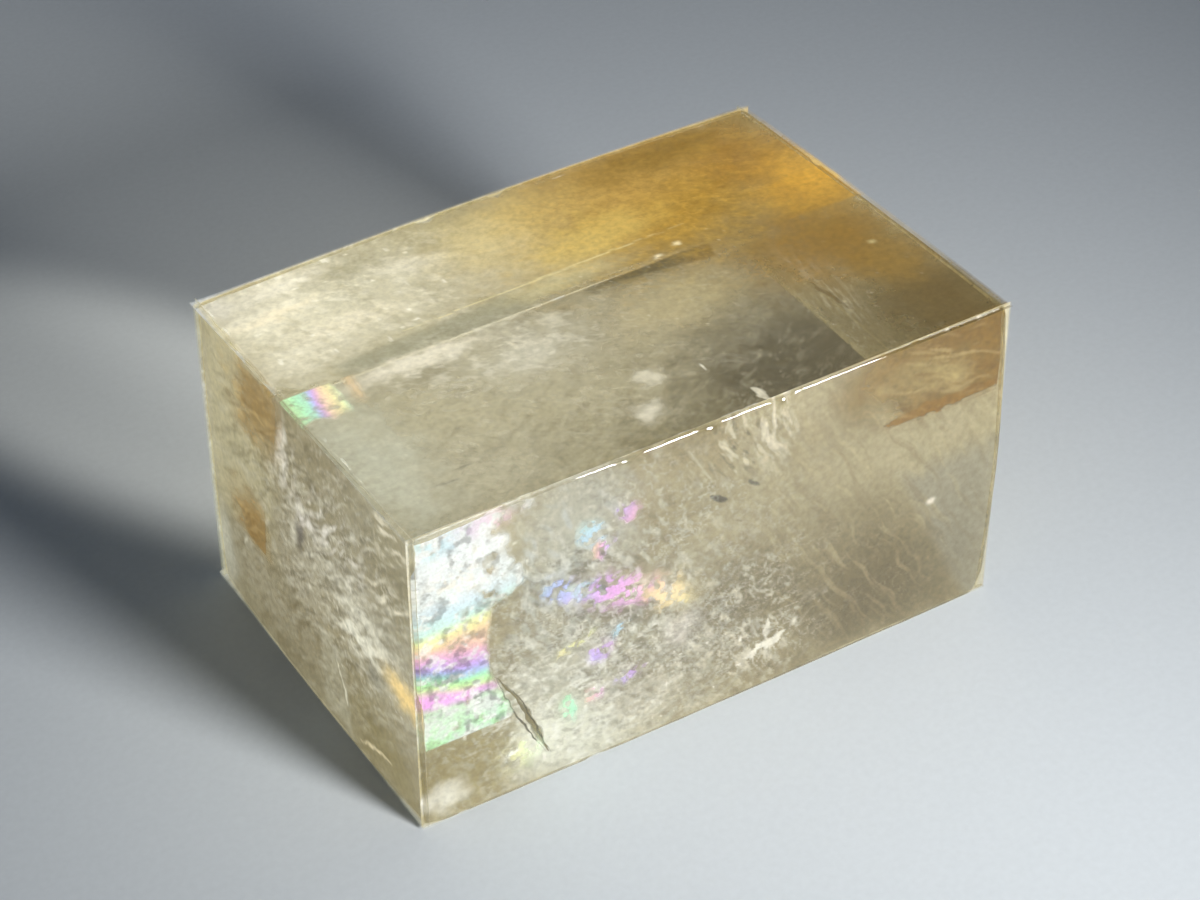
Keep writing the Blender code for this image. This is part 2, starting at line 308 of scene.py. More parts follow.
        # More painted shade of the shadowed table under the crystal, towards the right front
        ("cloud", (52, 25, 14, 12, 0, 2.0), 0.70, "#977432"),
        ("cloud", (55, 38, 16, 13, 0, 2.0), 0.82, "#6C5C3A"),
        ("cloud", (56, 31, 6, 6, 0, 1.2), 0.50, "#A2823F"),
        ("cloud", (36, 26, 12, 6, -15, 1.8), 0.42, "#CDBF98"),
        ("cloud", (3, 31, 8, 20, 0, 2.0), 0.45, "#D9DCD1"),
        ("cloud", (10, 38, 14, 9, 0, 2.0), 0.28, "#D0CBB8"),
        ("cloud", (46, 3.4, 14, 4.5, 0, 1.5), 0.50, "#8E7334"),
        ("patch", ((6.0, 16.4, 0.9), (26.0, 15.2, 3.0), (28.0, 18.75, 0.12), (6.0, 18.85, 1.8)),
         0.66, "#9E9C89"),
        ("cloud", (30, 16.8, 11, 2.4, 0, 0.6), 0.55, "#D9D0A8"),
        ("streak", (13.0, 15.5, 44.0, 14.9, 0.34, 0.15), 0.65, "#EFE4B6"),
        ("streak", (24.4, 15.6, 25.2, 17.6, 0.25, 0.2), 0.60, "#7C7458"),
        ("cloud", (13, 20.3, 13, 2.4, 0, 1.0), 0.80, "#F0E9DA"),
        ("cloud", (13.5, 22.6, 6, 2.6, 0, 0.8), 0.50, "#938C76"),
        ("feathers", (17, 21.5, 20, 7, 20, 1.0, 0.6, 0.40), 0.55, "#EDE7D8"),
        ("feathers", (21, 24, 16, 8, 10, 1.2, 0.5, 0.40), 0.50, "#E6E2D6"),
        ("patch", ((29.5, 19.1, 0.15), (43.5, 18.75, 2.0), (39.5, 21.6, 1.6), (31.0, 20.6, 1.4)),
         0.70, "#6B654D"),
        # Gold crackle: grain laid over the painted light of the lit table
        ("crackle", (44, 11, 34, 22, 0.9, 0.11), 0.35, "#8A6A2C"),
        ("crackle", (44, 13, 30, 18, 0.8, 0.10), 0.30, "#E6BE62"),
        ("crackle", (22, 27, 40, 20, 1.0, 0.10), 0.30, "#DCD6C6"),
        ("crackle", (24, 30, 46, 24, 1.3, 0.09), 0.24, "#6C654E"),
        ("specks", (10, 8, 20, 14, 0.6, 0.09), 0.75, "#FFFBF0"),
        ("specks", (42, 15, 14, 10, 0.6, 0.05), 0.90, "#FBF0CE"),
        ("specks", (28, 30, 50, 22, 0.45, 0.03), 0.70, "#E9E4D6"),
        # Two tiny white dots: painted glints
        ("cloud", (39.0, 18.3, 0.8, 0.5, 0, 0.3), 0.95, "#FFF4D6"),
        ("cloud", (41.5, 17.3, 0.8, 0.6, 0, 0.3), 0.95, "#FFF0C6"),
        ("cloud", (56.0, 27.2, 0.7, 0.7, 0, 0.3), 0.75, "#D9CB9A"),
        ("cloud", (1.6, 2.4, 3.0, 4.0, 0, 0.8), 0.80, "#E2DED6"),
    ),
    "left": (
        ("cloud", (6, 12, 15, 26, 0, 2.5), 0.75, "#C0B99E"),
        ("patch", ((2, 0.2, 0.12), (17.6, 0.2, 0.12), (13.2, 21.8, 0.12), (2, 21.8, 0.3)),
         0.40, "#B9AF8A"),
        ("cloud", (28, 8, 22, 14, 0, 2.0), 0.60, "#8C8368"),
        ("cloud", (18.2, 6.0, 2.0, 4.6, 10, 0.9), 0.62, "#E6E2DA"),
        ("cloud", (21.8, 10.6, 4.5, 1.8, 15, 0.9), 0.75, "#E2DDD4"),
        ("cloud", (38.5, 8, 9, 14, 0, 1.5), 0.60, "#7D734F"),
        ("cloud", (16, 30, 13, 4, 0, 1.2), 0.55, "#756A4E"),
        ("patch", ((2, 21.9, 0.12), (28.6, 22.3, 0.12), (28.0, 31.8, 0.15), (2, 31.8, 2.0)),
         0.45, "#8D8369"),
        ("cloud", (9, 26, 12, 5, 0, 1.5), 0.50, "#B3AB96"),
        ("cloud", (8, 14, 14, 12, 0, 2.0), 0.45, "#B0A88C"),
        ("cloud", (31, 15, 14, 8, 10, 2.0), 0.40, "#BDB9AA"),
        ("cloud", (20, 17, 10, 12, 0, 2.0), 0.45, "#A6A092"),
        ("cloud", (12, 27, 22, 8, 0, 2.0), 0.50, "#99917A"),
        ("cloud", (36, 27, 15, 9, 0, 2.0), 0.60, "#887B50"),
        ("patch", ((23, 22.0, 0.2), (28.6, 22.0, 0.6), (28.6, 31.5, 1.0), (23, 31.5, 0.8)),
         0.45, "#B9B5A2"),
        ("feathers", (22, 16, 38, 30, -25, 2.4, 0.6, 0.42), 0.45, "#C9C5B6"),
        ("feathers", (22, 16, 40, 32, -25, 2.6, 0.5, 0.44), 0.55, "#776C4E"),
        ("feathers", (18.4, 6.5, 4, 7, -60, 1.6, 0.6, 0.60), 0.85, "#EDE9E2"),
        ("feathers", (21.5, 11, 5, 4, -50, 1.6, 0.6, 0.55), 0.80, "#E5DFDA"),
        ("feathers", (28, 10, 9, 7, -45, 2.0, 0.45, 0.52), 0.80, "#E4DFD8"),
        ("feathers", (38, 10, 7, 4, -25, 2.4, 0.5, 0.55), 0.85, "#F0E8D4"),
        ("feathers", (31.5, 17.5, 13, 5.5, -15, 2.2, 0.8, 0.62), 0.85, "#E9E6D8"),
        ("feathers", (38, 3, 6, 5, -20, 2.0, 0.5, 0.50), 0.75, "#E6DDC8"),
        ("streak", (26.6, 24.0, 28.2, 28.5, 0.5, 0.4), 0.85, "#EDEADA"),
        ("streak", (6.9, 24.0, 8.0, 22.6, 0.45, 0.2), 0.80, "#DFDBC9"),
        ("streak", (30.0, 30.8, 36.0, 29.2, 0.5, 0.4), 0.75, "#EFE0BE"),
        ("feathers", (26, 12, 32, 26, -35, 2.0, 0.5, 0.42), 0.55, "#5F563D"),
        ("feathers", (28, 14, 28, 22, -30, 1.6, 0.45, 0.36), 0.60, "#DCD8CA"),
        ("feathers", (14, 26, 30, 14, -35, 1.6, 0.5, 0.42), 0.40, "#6B5C38"),
        ("crackle", (22, 16, 42, 32, 1.2, 0.11), 0.42, "#70664C"),
        ("crackle", (26, 12, 32, 24, 0.9, 0.12), 0.50, "#D9D4C6"),
        ("crackle", (31, 18, 16, 10, 0.7, 0.14), 0.60, "#EDE9DC"),
        ("cloud", (20.8, 13.8, 1.3, 3.0, 15, 0.5), 0.80, "#5F5850"),
        ("cloud", (34.0, 20.6, 2.4, 2.4, 0, 0.6), 0.70, "#6F6A58"),
        ("cloud", (39.4, 19.0, 6.4, 3.2, 10, 0.8), 0.88, "#EFD088"),
        ("specks", (26, 14, 28, 22, 0.5, 0.05), 0.75, "#F4F0E6"),
        ("cloud", (2.0, 27.5, 4, 8, 0, 0.8), 0.60, "#C6C6BC"),
    ),
    "right": (
        ("cloud", (12, 8, 20, 12, 10, 2.5), 0.50, "#B4924C"),
        ("cloud", (30, 9, 20, 14, 0, 2.5), 0.60, "#C09A48"),
        ("cloud", (20, 24, 26, 12, 0, 2.5), 0.50, "#968B6C"),
        ("feathers", (22, 16, 38, 30, 40, 3.0, 0.6, 0.42), 0.18, "#B8AE8C"),
        ("feathers", (22, 16, 38, 30, 40, 3.0, 0.6, 0.42), 0.40, "#7B7054"),
        ("feathers", (26, 24, 14, 8, -20, 2.0, 0.6, 0.50), 0.60, "#D8D2C0"),
        ("crackle", (21, 16, 40, 32, 1.1, 0.11), 0.45, "#DDD8C8"),
        ("crackle", (21, 16, 40, 32, 1.3, 0.10), 0.40, "#6E654B"),
        ("specks", (20, 16, 34, 24, 0.5, 0.04), 0.75, "#F0ECDD"),
        ("streak", (10, 26.0, 34, 26.0, 0.60, 0.15), 0.30, "#C8B98A"),
    ),
    "back": (
        ("cloud", (14, 12, 34, 24, 0, 3.0), 0.70, "#BE9440"),
        ("cloud", (10, 8, 16, 10, 10, 2.0), 0.55, "#C79B3C"),
        ("cloud", (44, 14, 26, 22, 0, 3.0), 0.60, "#D3CDB8"),
        ("cloud", (50, 10, 14, 10, 0, 2.0), 0.55, "#E6E1D0"),
        ("feathers", (30, 16, 56, 30, -40, 2.4, 0.6, 0.42), 0.40, "#E0DAC6"),
        ("feathers", (28, 16, 56, 30, -40, 2.4, 0.6, 0.42), 0.40, "#8A7A50"),
        ("feathers", (46, 18, 20, 16, -15, 1.8, 0.6, 0.50), 0.75, "#EFECE2"),
        ("crackle", (40, 16, 40, 32, 1.0, 0.11), 0.50, "#F1EDE0"),
        ("crackle", (28, 16, 56, 32, 1.3, 0.10), 0.38, "#7A6D48"),
        ("specks", (40, 16, 36, 26, 0.55, 0.05), 0.80, "#F8F4E8"),
        ("streak", (8, 26.0, 48, 26.0, 0.40, 0.15), 0.35, "#E9E0C0"),
    ),
    "base": (
        # Dark cloud: painted shade of the shadowed table beneath the crystal
        ("cloud", (53, 21, 20, 17, 0, 2.5), 0.88, "#3B2F1A"),
        ("cloud", (14, 22, 24, 22, 0, 3.0), 0.45, "#ABA48C"),
        ("cloud", (30, 30, 30, 16, 0, 2.5), 0.60, "#CFC9B4"),
        ("feathers", (30, 21, 56, 40, 30, 2.0, 0.7, 0.42), 0.35, "#C6C0AC"),
        ("feathers", (30, 21, 56, 40, 30, 2.0, 0.7, 0.42), 0.35, "#6A6148"),
        ("crackle", (30, 21, 58, 40, 1.2, 0.10), 0.35, "#D2CCBA"),
        ("crackle", (30, 21, 58, 40, 1.4, 0.09), 0.35, "#5E563F"),
        ("specks", (30, 21, 56, 38, 0.5, 0.03), 0.60, "#E6E1D2"),
        # Dark patch by the back-right edge: painted shade of the shadowed table beneath
        ("patch", ((44, 41.4, 0.2), (56.8, 38.8, 0.4), (57.6, 41.9, 0.6), (42, 41.9, 0.1)),
         0.85, "#3A3322"),
        ("streak", (2, 41.75, 57, 41.75, 0.45, 0.05), 0.95, "#FFF8E2"),
        ("streak", (59.5, 1, 59.5, 41, 0.5, 0.05), 0.90, "#E2D4A8"),
    ),
}

# Films of painted light: the amber glow of the table, lit by light that the crystal passes on, as seen
# through a face. Face, span in millimetres, depth, and marks as above
PAINTED_GLOW_FILMS = {
    "front_painted_glow": ("front", (41, 59.9, 0.2, 9.2), 0.45, (
        ("patch", ((44.0, 0.2, 0.3), (59.9, 0.2, 0.3), (59.8, 8.75, 0.12), (47.6, 8.75, 3.0)),
         0.84, "#856C38"),
        ("cloud", (45.5, 3.0, 6, 5, 0, 1.2), 0.55, "#8E7340"),
        ("cloud", (50.5, 4.2, 9, 4.6, 14, 1.2), 0.75, "#96855A"),
        ("cloud", (53.5, 5.2, 6, 2.4, 20, 0.8), 0.65, "#AE9C6C"),
        ("cloud", (55, 1.6, 10, 2.6, 0, 0.8), 0.60, "#7C5F2A"),
        ("cloud", (58.2, 5.0, 4, 8, 0, 0.8), 0.60, "#84672F"),
        ("streak", (47.0, 8.3, 59.7, 8.1, 1.5, 0.4), 0.75, "#86652A"),
        ("feathers", (53, 5, 14, 8, 20, 3.0, 0.4, 0.45), 0.55, "#BBA97A"),
        ("feathers", (53, 5, 15, 9, 24, 2.4, 0.5, 0.42), 0.50, "#6B4F22"),
    )),
    "left_upper_painted_glow": ("left", (1, 19, 0.2, 10.5), 0.45, (
        ("patch", ((8.0, 0.2, 3.0), (18.2, 0.2, 0.12), (16.4, 8.6, 3.5), (11.0, 9.8, 4.0)),
         0.62, "#A0895C"),
        ("cloud", (14, 3.6, 9, 6.5, -12, 1.6), 0.75, "#957B4B"),
        ("cloud", (10.5, 7.6, 6, 2.6, -20, 1.0), 0.55, "#9A8150"),
        ("feathers", (11, 5, 15, 9, -20, 2.2, 0.4, 0.5), 0.50, "#C0A878"),
        ("feathers", (12, 5, 14, 9, -20, 2.0, 0.4, 0.42), 0.55, "#7B6233"),
    )),
    "left_lower_painted_glow": ("left", (2, 14, 14.0, 22.2), 0.45, (
        ("patch", ((8.5, 15.0, 3.0), (13.5, 15.0, 0.12), (12.6, 21.8, 0.12), (6.0, 21.8, 3.0)),
         0.75, "#947946"),
        ("cloud", (9.5, 19.4, 7, 4.6, 0, 1.2), 0.70, "#947743"),
        ("feathers", (9, 19, 9, 7, -20, 2.0, 0.4, 0.5), 0.55, "#B9A070"),
        ("feathers", (9, 19, 9, 7, -20, 1.8, 0.4, 0.42), 0.50, "#765C2E"),
    )),
}

# Thin cracks that cross the veils: face, depth, width, colour and corner points in millimetres
CRACKS = {
    "front_open_gap": ("front", 0.66, 1.10, "#6E6440", (
        (8.2, 18.6), (9.5, 21.2), (10.8, 23.8), (12.0, 26.6), (13.0, 29.4))),
    "front_crack_line": ("front", 0.60, 0.22, "#474026", (
        (8.0, 18.4), (9.0, 21.4), (10.1, 24.0), (11.4, 26.8), (12.8, 29.2))),
    "front_far_line": ("front", 0.60, 0.20, "#4C4428", (
        (9.6, 20.6), (10.8, 23.0), (11.7, 25.6), (12.5, 27.8), (13.2, 29.6))),
    "top_feather_line": ("top", 0.9, 0.22, "#665C40", (
        (19.8, 6.0), (19.2, 9.0), (19.0, 12.0), (18.9, 14.6))),
    "top_gold_crack": ("top", 0.9, 0.22, "#7A5F2A", (
        (33.8, 15.4), (34.0, 16.6), (33.9, 17.8))),
}

# Frosted wear along the edges: first and last corner as lattice signs, and how strongly it shows
EDGE_FROST = {
    "front_top_frost": ((-1, -1, 1), (1, -1, 1), 0.9),
    "left_top_frost": ((-1, 1, 1), (-1, -1, 1), 0.35),
    "back_top_frost": ((-1, 1, 1), (1, 1, 1), 0.22),
    "right_top_frost": ((1, 1, 1), (1, -1, 1), 0.22),
    "front_left_frost": ((-1, -1, 1), (-1, -1, -1), 0.2),
    "front_right_frost": ((1, -1, 1), (1, -1, -1), 0.12),
    "back_right_frost": ((1, 1, 1), (1, 1, -1), 0.2),
    "back_left_frost": ((-1, 1, 1), (-1, 1, -1), 0.2),
    "front_base_frost": ((-1, -1, -1), (1, -1, -1), 0.15),
    "left_base_frost": ((-1, 1, -1), (-1, -1, -1), 0.2),
    "right_base_frost": ((1, 1, -1), (1, -1, -1), 0.2),
    "back_base_frost": ((-1, 1, -1), (1, 1, -1), 0.2),
}
FROST_CELL = 0.12 * MM
FROST_DEPTH = 0.36 * MM
FROST_COLOUR = "#F4F1E8"

# The rainbow fracture: parts of the film by middle, width, height and turn in millimetres, light-path
# difference in nanometres at the two ends along the turn, and cover
RAINBOW_SPOTS = (
    (14.6, 11.9, 4.4, 2.4, 25, 1190, 1120, 0.80),
    (16.8, 12.8, 3.0, 1.8, 20, 720, 680, 0.60),
    (20.0, 14.3, 6.8, 3.0, 24, 1085, 1035, 0.98),
    (24.8, 16.5, 5.0, 3.2, 38, 950, 910, 0.62),
    (26.6, 18.2, 2.4, 1.6, 30, 930, 900, 0.40),
    (17.4, 6.9, 2.4, 2.2, 40, 720, 690, 0.60),
    (18.6, 8.8, 1.5, 2.0, 10, 960, 1120, 0.80),
    (21.2, 6.2, 2.4, 1.5, 30, 1110, 1020, 0.60),
    (18.2, 20.0, 2.2, 2.4, -30, 1120, 1070, 0.70),
    (20.4, 18.6, 2.6, 1.0, -30, 700, 680, 0.60),
    (15.6, 18.4, 4.2, 0.9, -20, 880, 860, 0.60),
    (21.2, 24.0, 2.4, 1.6, -25, 1130, 1090, 0.60),
    (15.0, 25.4, 1.3, 2.6, 0, 1300, 1270, 0.80),
    (17.4, 25.0, 1.6, 1.6, 0, 960, 1040, 0.50),
    (10.2, 28.0, 4.2, 3.6, 0, 880, 800, 0.45),
    (9.4, 28.0, 1.4, 1.4, 0, 250, 300, 0.95),
    (2.4, 2.0, 4.6, 2.6, 0, 730, 690, 0.50),
    (8.0, 1.6, 5.0, 1.8, 0, 1060, 1010, 0.35),
    (5.0, 6.4, 6.0, 2.4, 5, 390, 430, 0.30),
)

# Where its two films lie: span on the face in millimetres, and depth
RAINBOW_SPAN = (0.3, 30.0, 0.3, 31.4)
FLAKE_SPAN = (0.3, 7.6, 18.4, 24.4)
FILM_DEPTH = 0.45

# Its bands from the top edge down: millimetres below the edge, and light-path difference in nanometres
RAINBOW_BANDS = (
    (0.0, 560.0), (8.6, 690.0), (10.2, 750.0), (11.0, 850.0), (12.2, 930.0), (13.4, 1020.0),
    (14.4, 1070.0), (15.0, 1120.0), (15.7, 1220.0), (16.6, 1330.0), (17.2, 1420.0), (17.9, 1550.0),
    (18.7, 1620.0), (19.6, 1800.0), (21.2, 1850.0), (22.6, 1880.0), (23.5, 1900.0),
)

# Its ragged right-hand edge: millimetres below the top edge, and width of the film there
RAINBOW_EDGE = ((0.0, 12.0), (9.0, 11.0), (10.6, 7.8), (16.0, 7.3), (18.0, 7.7), (23.5, 9.8))

# Bands of the flake under the top face: millimetres from its left edge, and path difference
FLAKE_BANDS = (
    (0.3, 1330.0), (2.1, 1260.0), (2.9, 1080.0), (3.5, 960.0), (4.6, 880.0), (5.4, 790.0),
)


def unit(vector):
    """The vector at length one."""
    vector = np.asarray(vector, float)
    return vector / np.linalg.norm(vector, axis=-1, keepdims=True)


def lattice_axes():
    """Unit vectors along the long edge, the edge that runs back and the edge that runs down."""
    along = np.array((1.0, 0.0, 0.0))
    back = np.array((math.cos(LENGTH_TO_DEPTH), math.sin(LENGTH_TO_DEPTH), 0.0))
    lean_x = math.cos(LENGTH_TO_SLANT)
    lean_y = (math.cos(DEPTH_TO_SLANT) - lean_x * back[0]) / back[1]
    down = np.array((lean_x, lean_y, -math.sqrt(1.0 - lean_x * lean_x - lean_y * lean_y)))
    return along, back, down


ALONG, BACK, DOWN = lattice_axes()
HALF = np.array((LENGTH, DEPTH, SLANT)) / 2
MIDDLE = np.array((0.0, 0.0, -DOWN[2] * SLANT / 2))
LATTICE = np.stack((ALONG, BACK, -DOWN), axis=1)
TO_LATTICE = np.linalg.inv(LATTICE)

# How much of a step along a lattice axis points straight out of the face at its end
SQUARENESS = 1.0 / np.linalg.norm(TO_LATTICE, axis=1)


def place(x, y, z):
    """Place in metres of three lattice signs: the middle plus each sign's share of its half edge."""
    signs = np.stack(np.broadcast_arrays(x, y, z), axis=-1) * HALF
    return MIDDLE + signs @ LATTICE.T


def lattice_signs(points):
    """Lattice signs of places in metres."""
    return ((points - MIDDLE) @ TO_LATTICE.T) / HALF


def lumps(points, size, seed):
    """Smooth noise from -1 to 1: random values on a square or cubic grid, blended between its corners."""
    table = np.random.default_rng(seed).uniform(-1.0, 1.0, 4096)
    scaled = np.asarray(points) / size
    cell = np.floor(scaled).astype(np.int64)
    part = scaled - cell
    part = part * part * (3.0 - 2.0 * part)
    total = 0.0
    for corner in np.ndindex(*(2,) * cell.shape[-1]):
        step = np.array(corner)
        spot = cell + step
        key = (spot * np.array((73856093, 19349663, 83492791))[:cell.shape[-1]]).sum(-1)
        share = np.prod(np.where(step == 1, part, 1.0 - part), axis=-1)
        total = total + share * table[(key ^ (key >> 13)) & 4095]
    return total


def layered_lumps(points, size, seed, layers=3):
    """Lumps of halving size and halving height, added up."""
    total = 0.0
    for layer in range(layers):
        total = total + lumps(points, size / 2 ** layer, seed + layer) / 2 ** layer
    return total / (2.0 - 0.5 ** (layers - 1))


def ramp(value, width):
    """Zero below zero, rising evenly to one over the width."""
    return np.clip(value / width, 0.0, 1.0)


def domed_corner(x, y, z):
    """A sharp corner of the domed crystal, for its three lattice signs."""
    side = BULGE["right" if x > 0 else "left"]
    end = BULGE["back" if y > 0 else "front"]
    lid = BULGE["top" if z > 0 else "base"]
    shrink = np.array((sum(side), sum(end), sum(lid))) / HALF
    return place(*(np.array((x, y, z)) * (1.0 - shrink)))


def face_gaps(points):
    """Distance beyond each of the six domed faces: the face's plane, drawn in by squares of the signs."""
    signs = lattice_signs(points)
    pairs = {"right": (0, 1, 1, 2), "left": (0, -1, 1, 2), "back": (1, 1, 0, 2), "front": (1, -1, 0, 2),
             "top": (2, 1, 0, 1), "base": (2, -1, 0, 1)}
    gaps = []
    for name, (axis, way, first, second) in pairs.items():
        bulge = BULGE[name]
        reach = HALF[axis] - bulge[0] * signs[..., first] ** 2 - bulge[1] * signs[..., second] ** 2
        gaps.append((way * signs[..., axis] * HALF[axis] - reach) * SQUARENESS[axis])
    return gaps


def facet_gaps(points):
    """Distance beyond each corner facet's plane."""
    gaps = []
    for corner, look, depth in CORNER_FACETS.values():
        gaps.append((points - domed_corner(*corner)) @ unit(look) + depth)
    return gaps


def chip_balls(keep):
    """Middle and radius of the ball that scoops out each chip, at the given share of its size."""
    balls = []
    for first, second, share, length, depth in EDGE_CHIPS.values():
        length = length * keep
        depth = depth * keep
        start = domed_corner(*first)
        spot = start + (domed_corner(*second) - start) * share
        outward = np.array([0.5 * (a + b) for a, b in zip(first, second)])
        away = unit(place(*(outward * 1.1)) - place(*outward))
        radius = (length * length / 4 + depth * depth) / (2 * depth)
        balls.append((spot + away * (radius - depth), radius))
    return balls


def outside(points, edge_round, chip_keep):
    """Above zero outside the crystal: faces and facets meet in worn rounds, and chips are scooped out."""
    crumble = np.maximum(lumps(points, 0.8 * MM, 33), 0.0) ** 2
    crumble = crumble * np.clip(2.0 * lumps(points, 6.0 * MM, 35), 0.0, 1.0)
    wear = edge_round + EDGE_ROUND_SWING * layered_lumps(points, 3.5 * MM, 5) + EDGE_CRUMBLE * crumble
    wave = POLISH_WAVE * lumps(points, POLISH_WAVE_LENGTH, 9)
    above = [gap + wear for gap in face_gaps(points)]
    above += [gap + 0.5 * wear for gap in facet_gaps(points)]
    above = np.stack(above)
    rounded = np.sqrt((np.maximum(above, 0.0) ** 2).sum(0)) - wear
    gap = np.where(above.max(0) > 0.0, rounded, above.max(0) - wear) + wave
    ripple = 0.12 * MM * layered_lumps(points, 0.9 * MM, 21)
    for middle, radius in chip_balls(chip_keep):
        gap = np.maximum(gap, radius + ripple - np.linalg.norm(points - middle, axis=-1))
    return gap


def rim_steps(length):
    """Signs from -1 to 1 along a face: even cells on its flat, and finer ones beside both edges."""
    rim = 2.0 * RIM_WIDTH / length
    near = rim * (np.arange(RIM_CELLS) / RIM_CELLS)
    flat = np.linspace(-1.0 + rim, 1.0 - rim, round((length - 2 * RIM_WIDTH) / FLAT_CELL) + 1)
    return np.concatenate((-1.0 + near, flat, (1.0 - near)[::-1]))


def grid_quads(rows, columns, flip=False):
    """Corner numbers of each cell of a grid, turned round if flip is set."""
    number = np.arange(rows * columns).reshape(rows, columns)
    quads = np.stack((number[:-1, :-1], number[1:, :-1], number[1:, 1:], number[:-1, 1:]), -1).reshape(-1, 4)
    return quads[:, ::-1] if flip else quads


def skin_grids():
    """Points and faces of a cube's six sides, each a grid of two signs, with shared rims joined."""
    steps = [rim_steps(length) for length in (LENGTH, DEPTH, SLANT)]
    points = []
    quads = []
    count = 0
    for axis in range(3):
        first = (axis + 1) % 3
        second = (axis + 2) % 3
        u, v = np.meshgrid(steps[first], steps[second], indexing="ij")
        for way in (-1, 1):
            side = np.empty(u.shape + (3,))
            side[..., axis] = way
            side[..., first] = u
            side[..., second] = v
            points.append(side.reshape(-1, 3))
            quads.append(grid_quads(*u.shape, flip=way < 0) + count)
            count += u.size
    points = np.concatenate(points)
    quads = np.concatenate(quads)
    _, keep, renumber = np.unique(np.round(points, 9), axis=0, return_index=True, return_inverse=True)
    return points[keep], renumber.reshape(-1)[quads]


def skin_points(cube, edge_round, chip_keep):
    """Each cube point carried out from the crystal's middle until it meets the skin, by halving the step."""
    reach = place(cube[:, 0], cube[:, 1], cube[:, 2]) - MIDDLE
    low = np.full(len(cube), 0.90)
    high = np.full(len(cube), 1.02)
    for _ in range(24):
        mid = 0.5 * (low + high)
        out = outside(MIDDLE + reach * mid[:, None], edge_round, chip_keep) > 0.0
        high = np.where(out, mid, high)
        low = np.where(out, low, mid)
    return MIDDLE + reach * low[:, None]


def face_spot(face, a, b, deep):
    """Place of a point in millimetres from a face's corner: a and b along the face, deep below its dome."""
    corner, (first, first_way), (second, second_way) = FACE_FRAMES[face]
    inward = 3 - first - second
    signs = [None, None, None]
    signs[first] = corner[first] + first_way * a * MM / HALF[first]
    signs[second] = corner[second] + second_way * b * MM / HALF[second]
    drawn_in = BULGE[face][0] * signs[first] ** 2 + BULGE[face][1] * signs[second] ** 2
    signs[inward] = corner[inward] * (1.0 - (deep * MM + drawn_in) / HALF[inward])
    return place(*signs)


def face_size(face):
    """Length in millimetres of a face's two sides."""
    _, (first, _), (second, _) = FACE_FRAMES[face]
    return 2.0 * HALF[first] / MM, 2.0 * HALF[second] / MM


def make_mesh(name, points, quads, material, tint=None):
    """An object at the origin from arrays of points and four-cornered faces, shaded smooth."""
    data = bpy.data.meshes.new(name)
    data.vertices.add(len(points))
    data.vertices.foreach_set("co", np.asarray(points, np.float32).ravel())
    data.loops.add(quads.size)
    data.loops.foreach_set("vertex_index", quads.ravel().astype(np.int32))
    data.polygons.add(len(quads))
    data.polygons.foreach_set("loop_start", np.arange(0, quads.size, 4, dtype=np.int32))
    data.update(calc_edges=True)
    data.validate()
    data.shade_smooth()
    if tint is not None:
        layer = data.attributes.new("tint", "FLOAT_COLOR", "POINT")
        layer.data.foreach_set("color", np.asarray(tint, np.float32).ravel())
    data.materials.append(material)
    piece = bpy.data.objects.new(name, data)
    bpy.context.scene.collection.objects.link(piece)
    return piece


def linear(hex_colour):
    """An sRGB hex colour as linear red, green, blue and full alpha."""
    shares = [int(hex_colour[i:i + 2], 16) / 255 for i in (1, 3, 5)]
    return [s / 12.92 if s <= 0.04045 else ((s + 0.055) / 1.055) ** 2.4 for s in shares] + [1.0]


def add_node(tree, kind, settings=None, **links):
    """Adds a node with its properties, then fills its inputs with values or links to other outputs."""
    node = tree.nodes.new(kind)
    for key, value in (settings or {}).items():
        setattr(node, key, value)
    for key, value in links.items():
        numbered = key[0] == "i" and key[1:].isdigit()
        socket = node.inputs[int(key[1:]) if numbered else key.replace("_", " ")]
        if isinstance(value, bpy.types.NodeSocket):
            tree.links.new(value, socket)
        else:
            socket.default_value = value
    return node


def new_material(name):
    """An empty node material with its output."""
    material = bpy.data.materials.new(name)
    material.use_nodes = True
    tree = material.node_tree
    tree.nodes.clear()
    output = tree.nodes.new("ShaderNodeOutputMaterial")
    return material, tree, output


def turned(a, b, middle_a, middle_b, turn):
    """The two directions of a mark: along its turn and beside it, from its middle."""
    angle = math.radians(turn)
    along = (a - middle_a) * math.cos(angle) + (b - middle_b) * math.sin(angle)
    beside = (b - middle_b) * math.cos(angle) - (a - middle_a) * math.sin(angle)
    return along, beside


def cloud(a, b, shape, seed):
    """A soft oval that fades with the cube of its reach, its rim shifted by lumps."""
    middle_a, middle_b, wide, high, turn, ragged = shape
    spots = np.stack((a, b), -1)
    size = 0.25 + 0.9 * ragged
    shift_a = ragged * layered_lumps(spots, size, seed)
    shift_b = ragged * layered_lumps(spots, size, seed + 7)
    along, beside = turned(a + shift_a, b + shift_b, middle_a, middle_b, turn)
    reach = np.sqrt((along / (0.5 * wide)) ** 2 + (beside / (0.5 * high)) ** 2)
    return np.exp(-0.8 * reach ** 3)


def patch(a, b, corners, seed):
    """A flat-sided patch: the least share that any side lets through, each over its own softness."""
    cover = np.ones_like(a)
    waver = 0.10 * layered_lumps(np.stack((a, b), -1), 1.5, seed)
    for start, end in zip(corners, corners[1:] + corners[:1]):
        run_a = end[0] - start[0]
        run_b = end[1] - start[1]
        inside = ((b - start[1]) * run_a - (a - start[0]) * run_b) / math.hypot(run_a, run_b)
        cover = np.minimum(cover, ramp(inside + waver * min(1.0, start[2]), start[2]))
    return cover


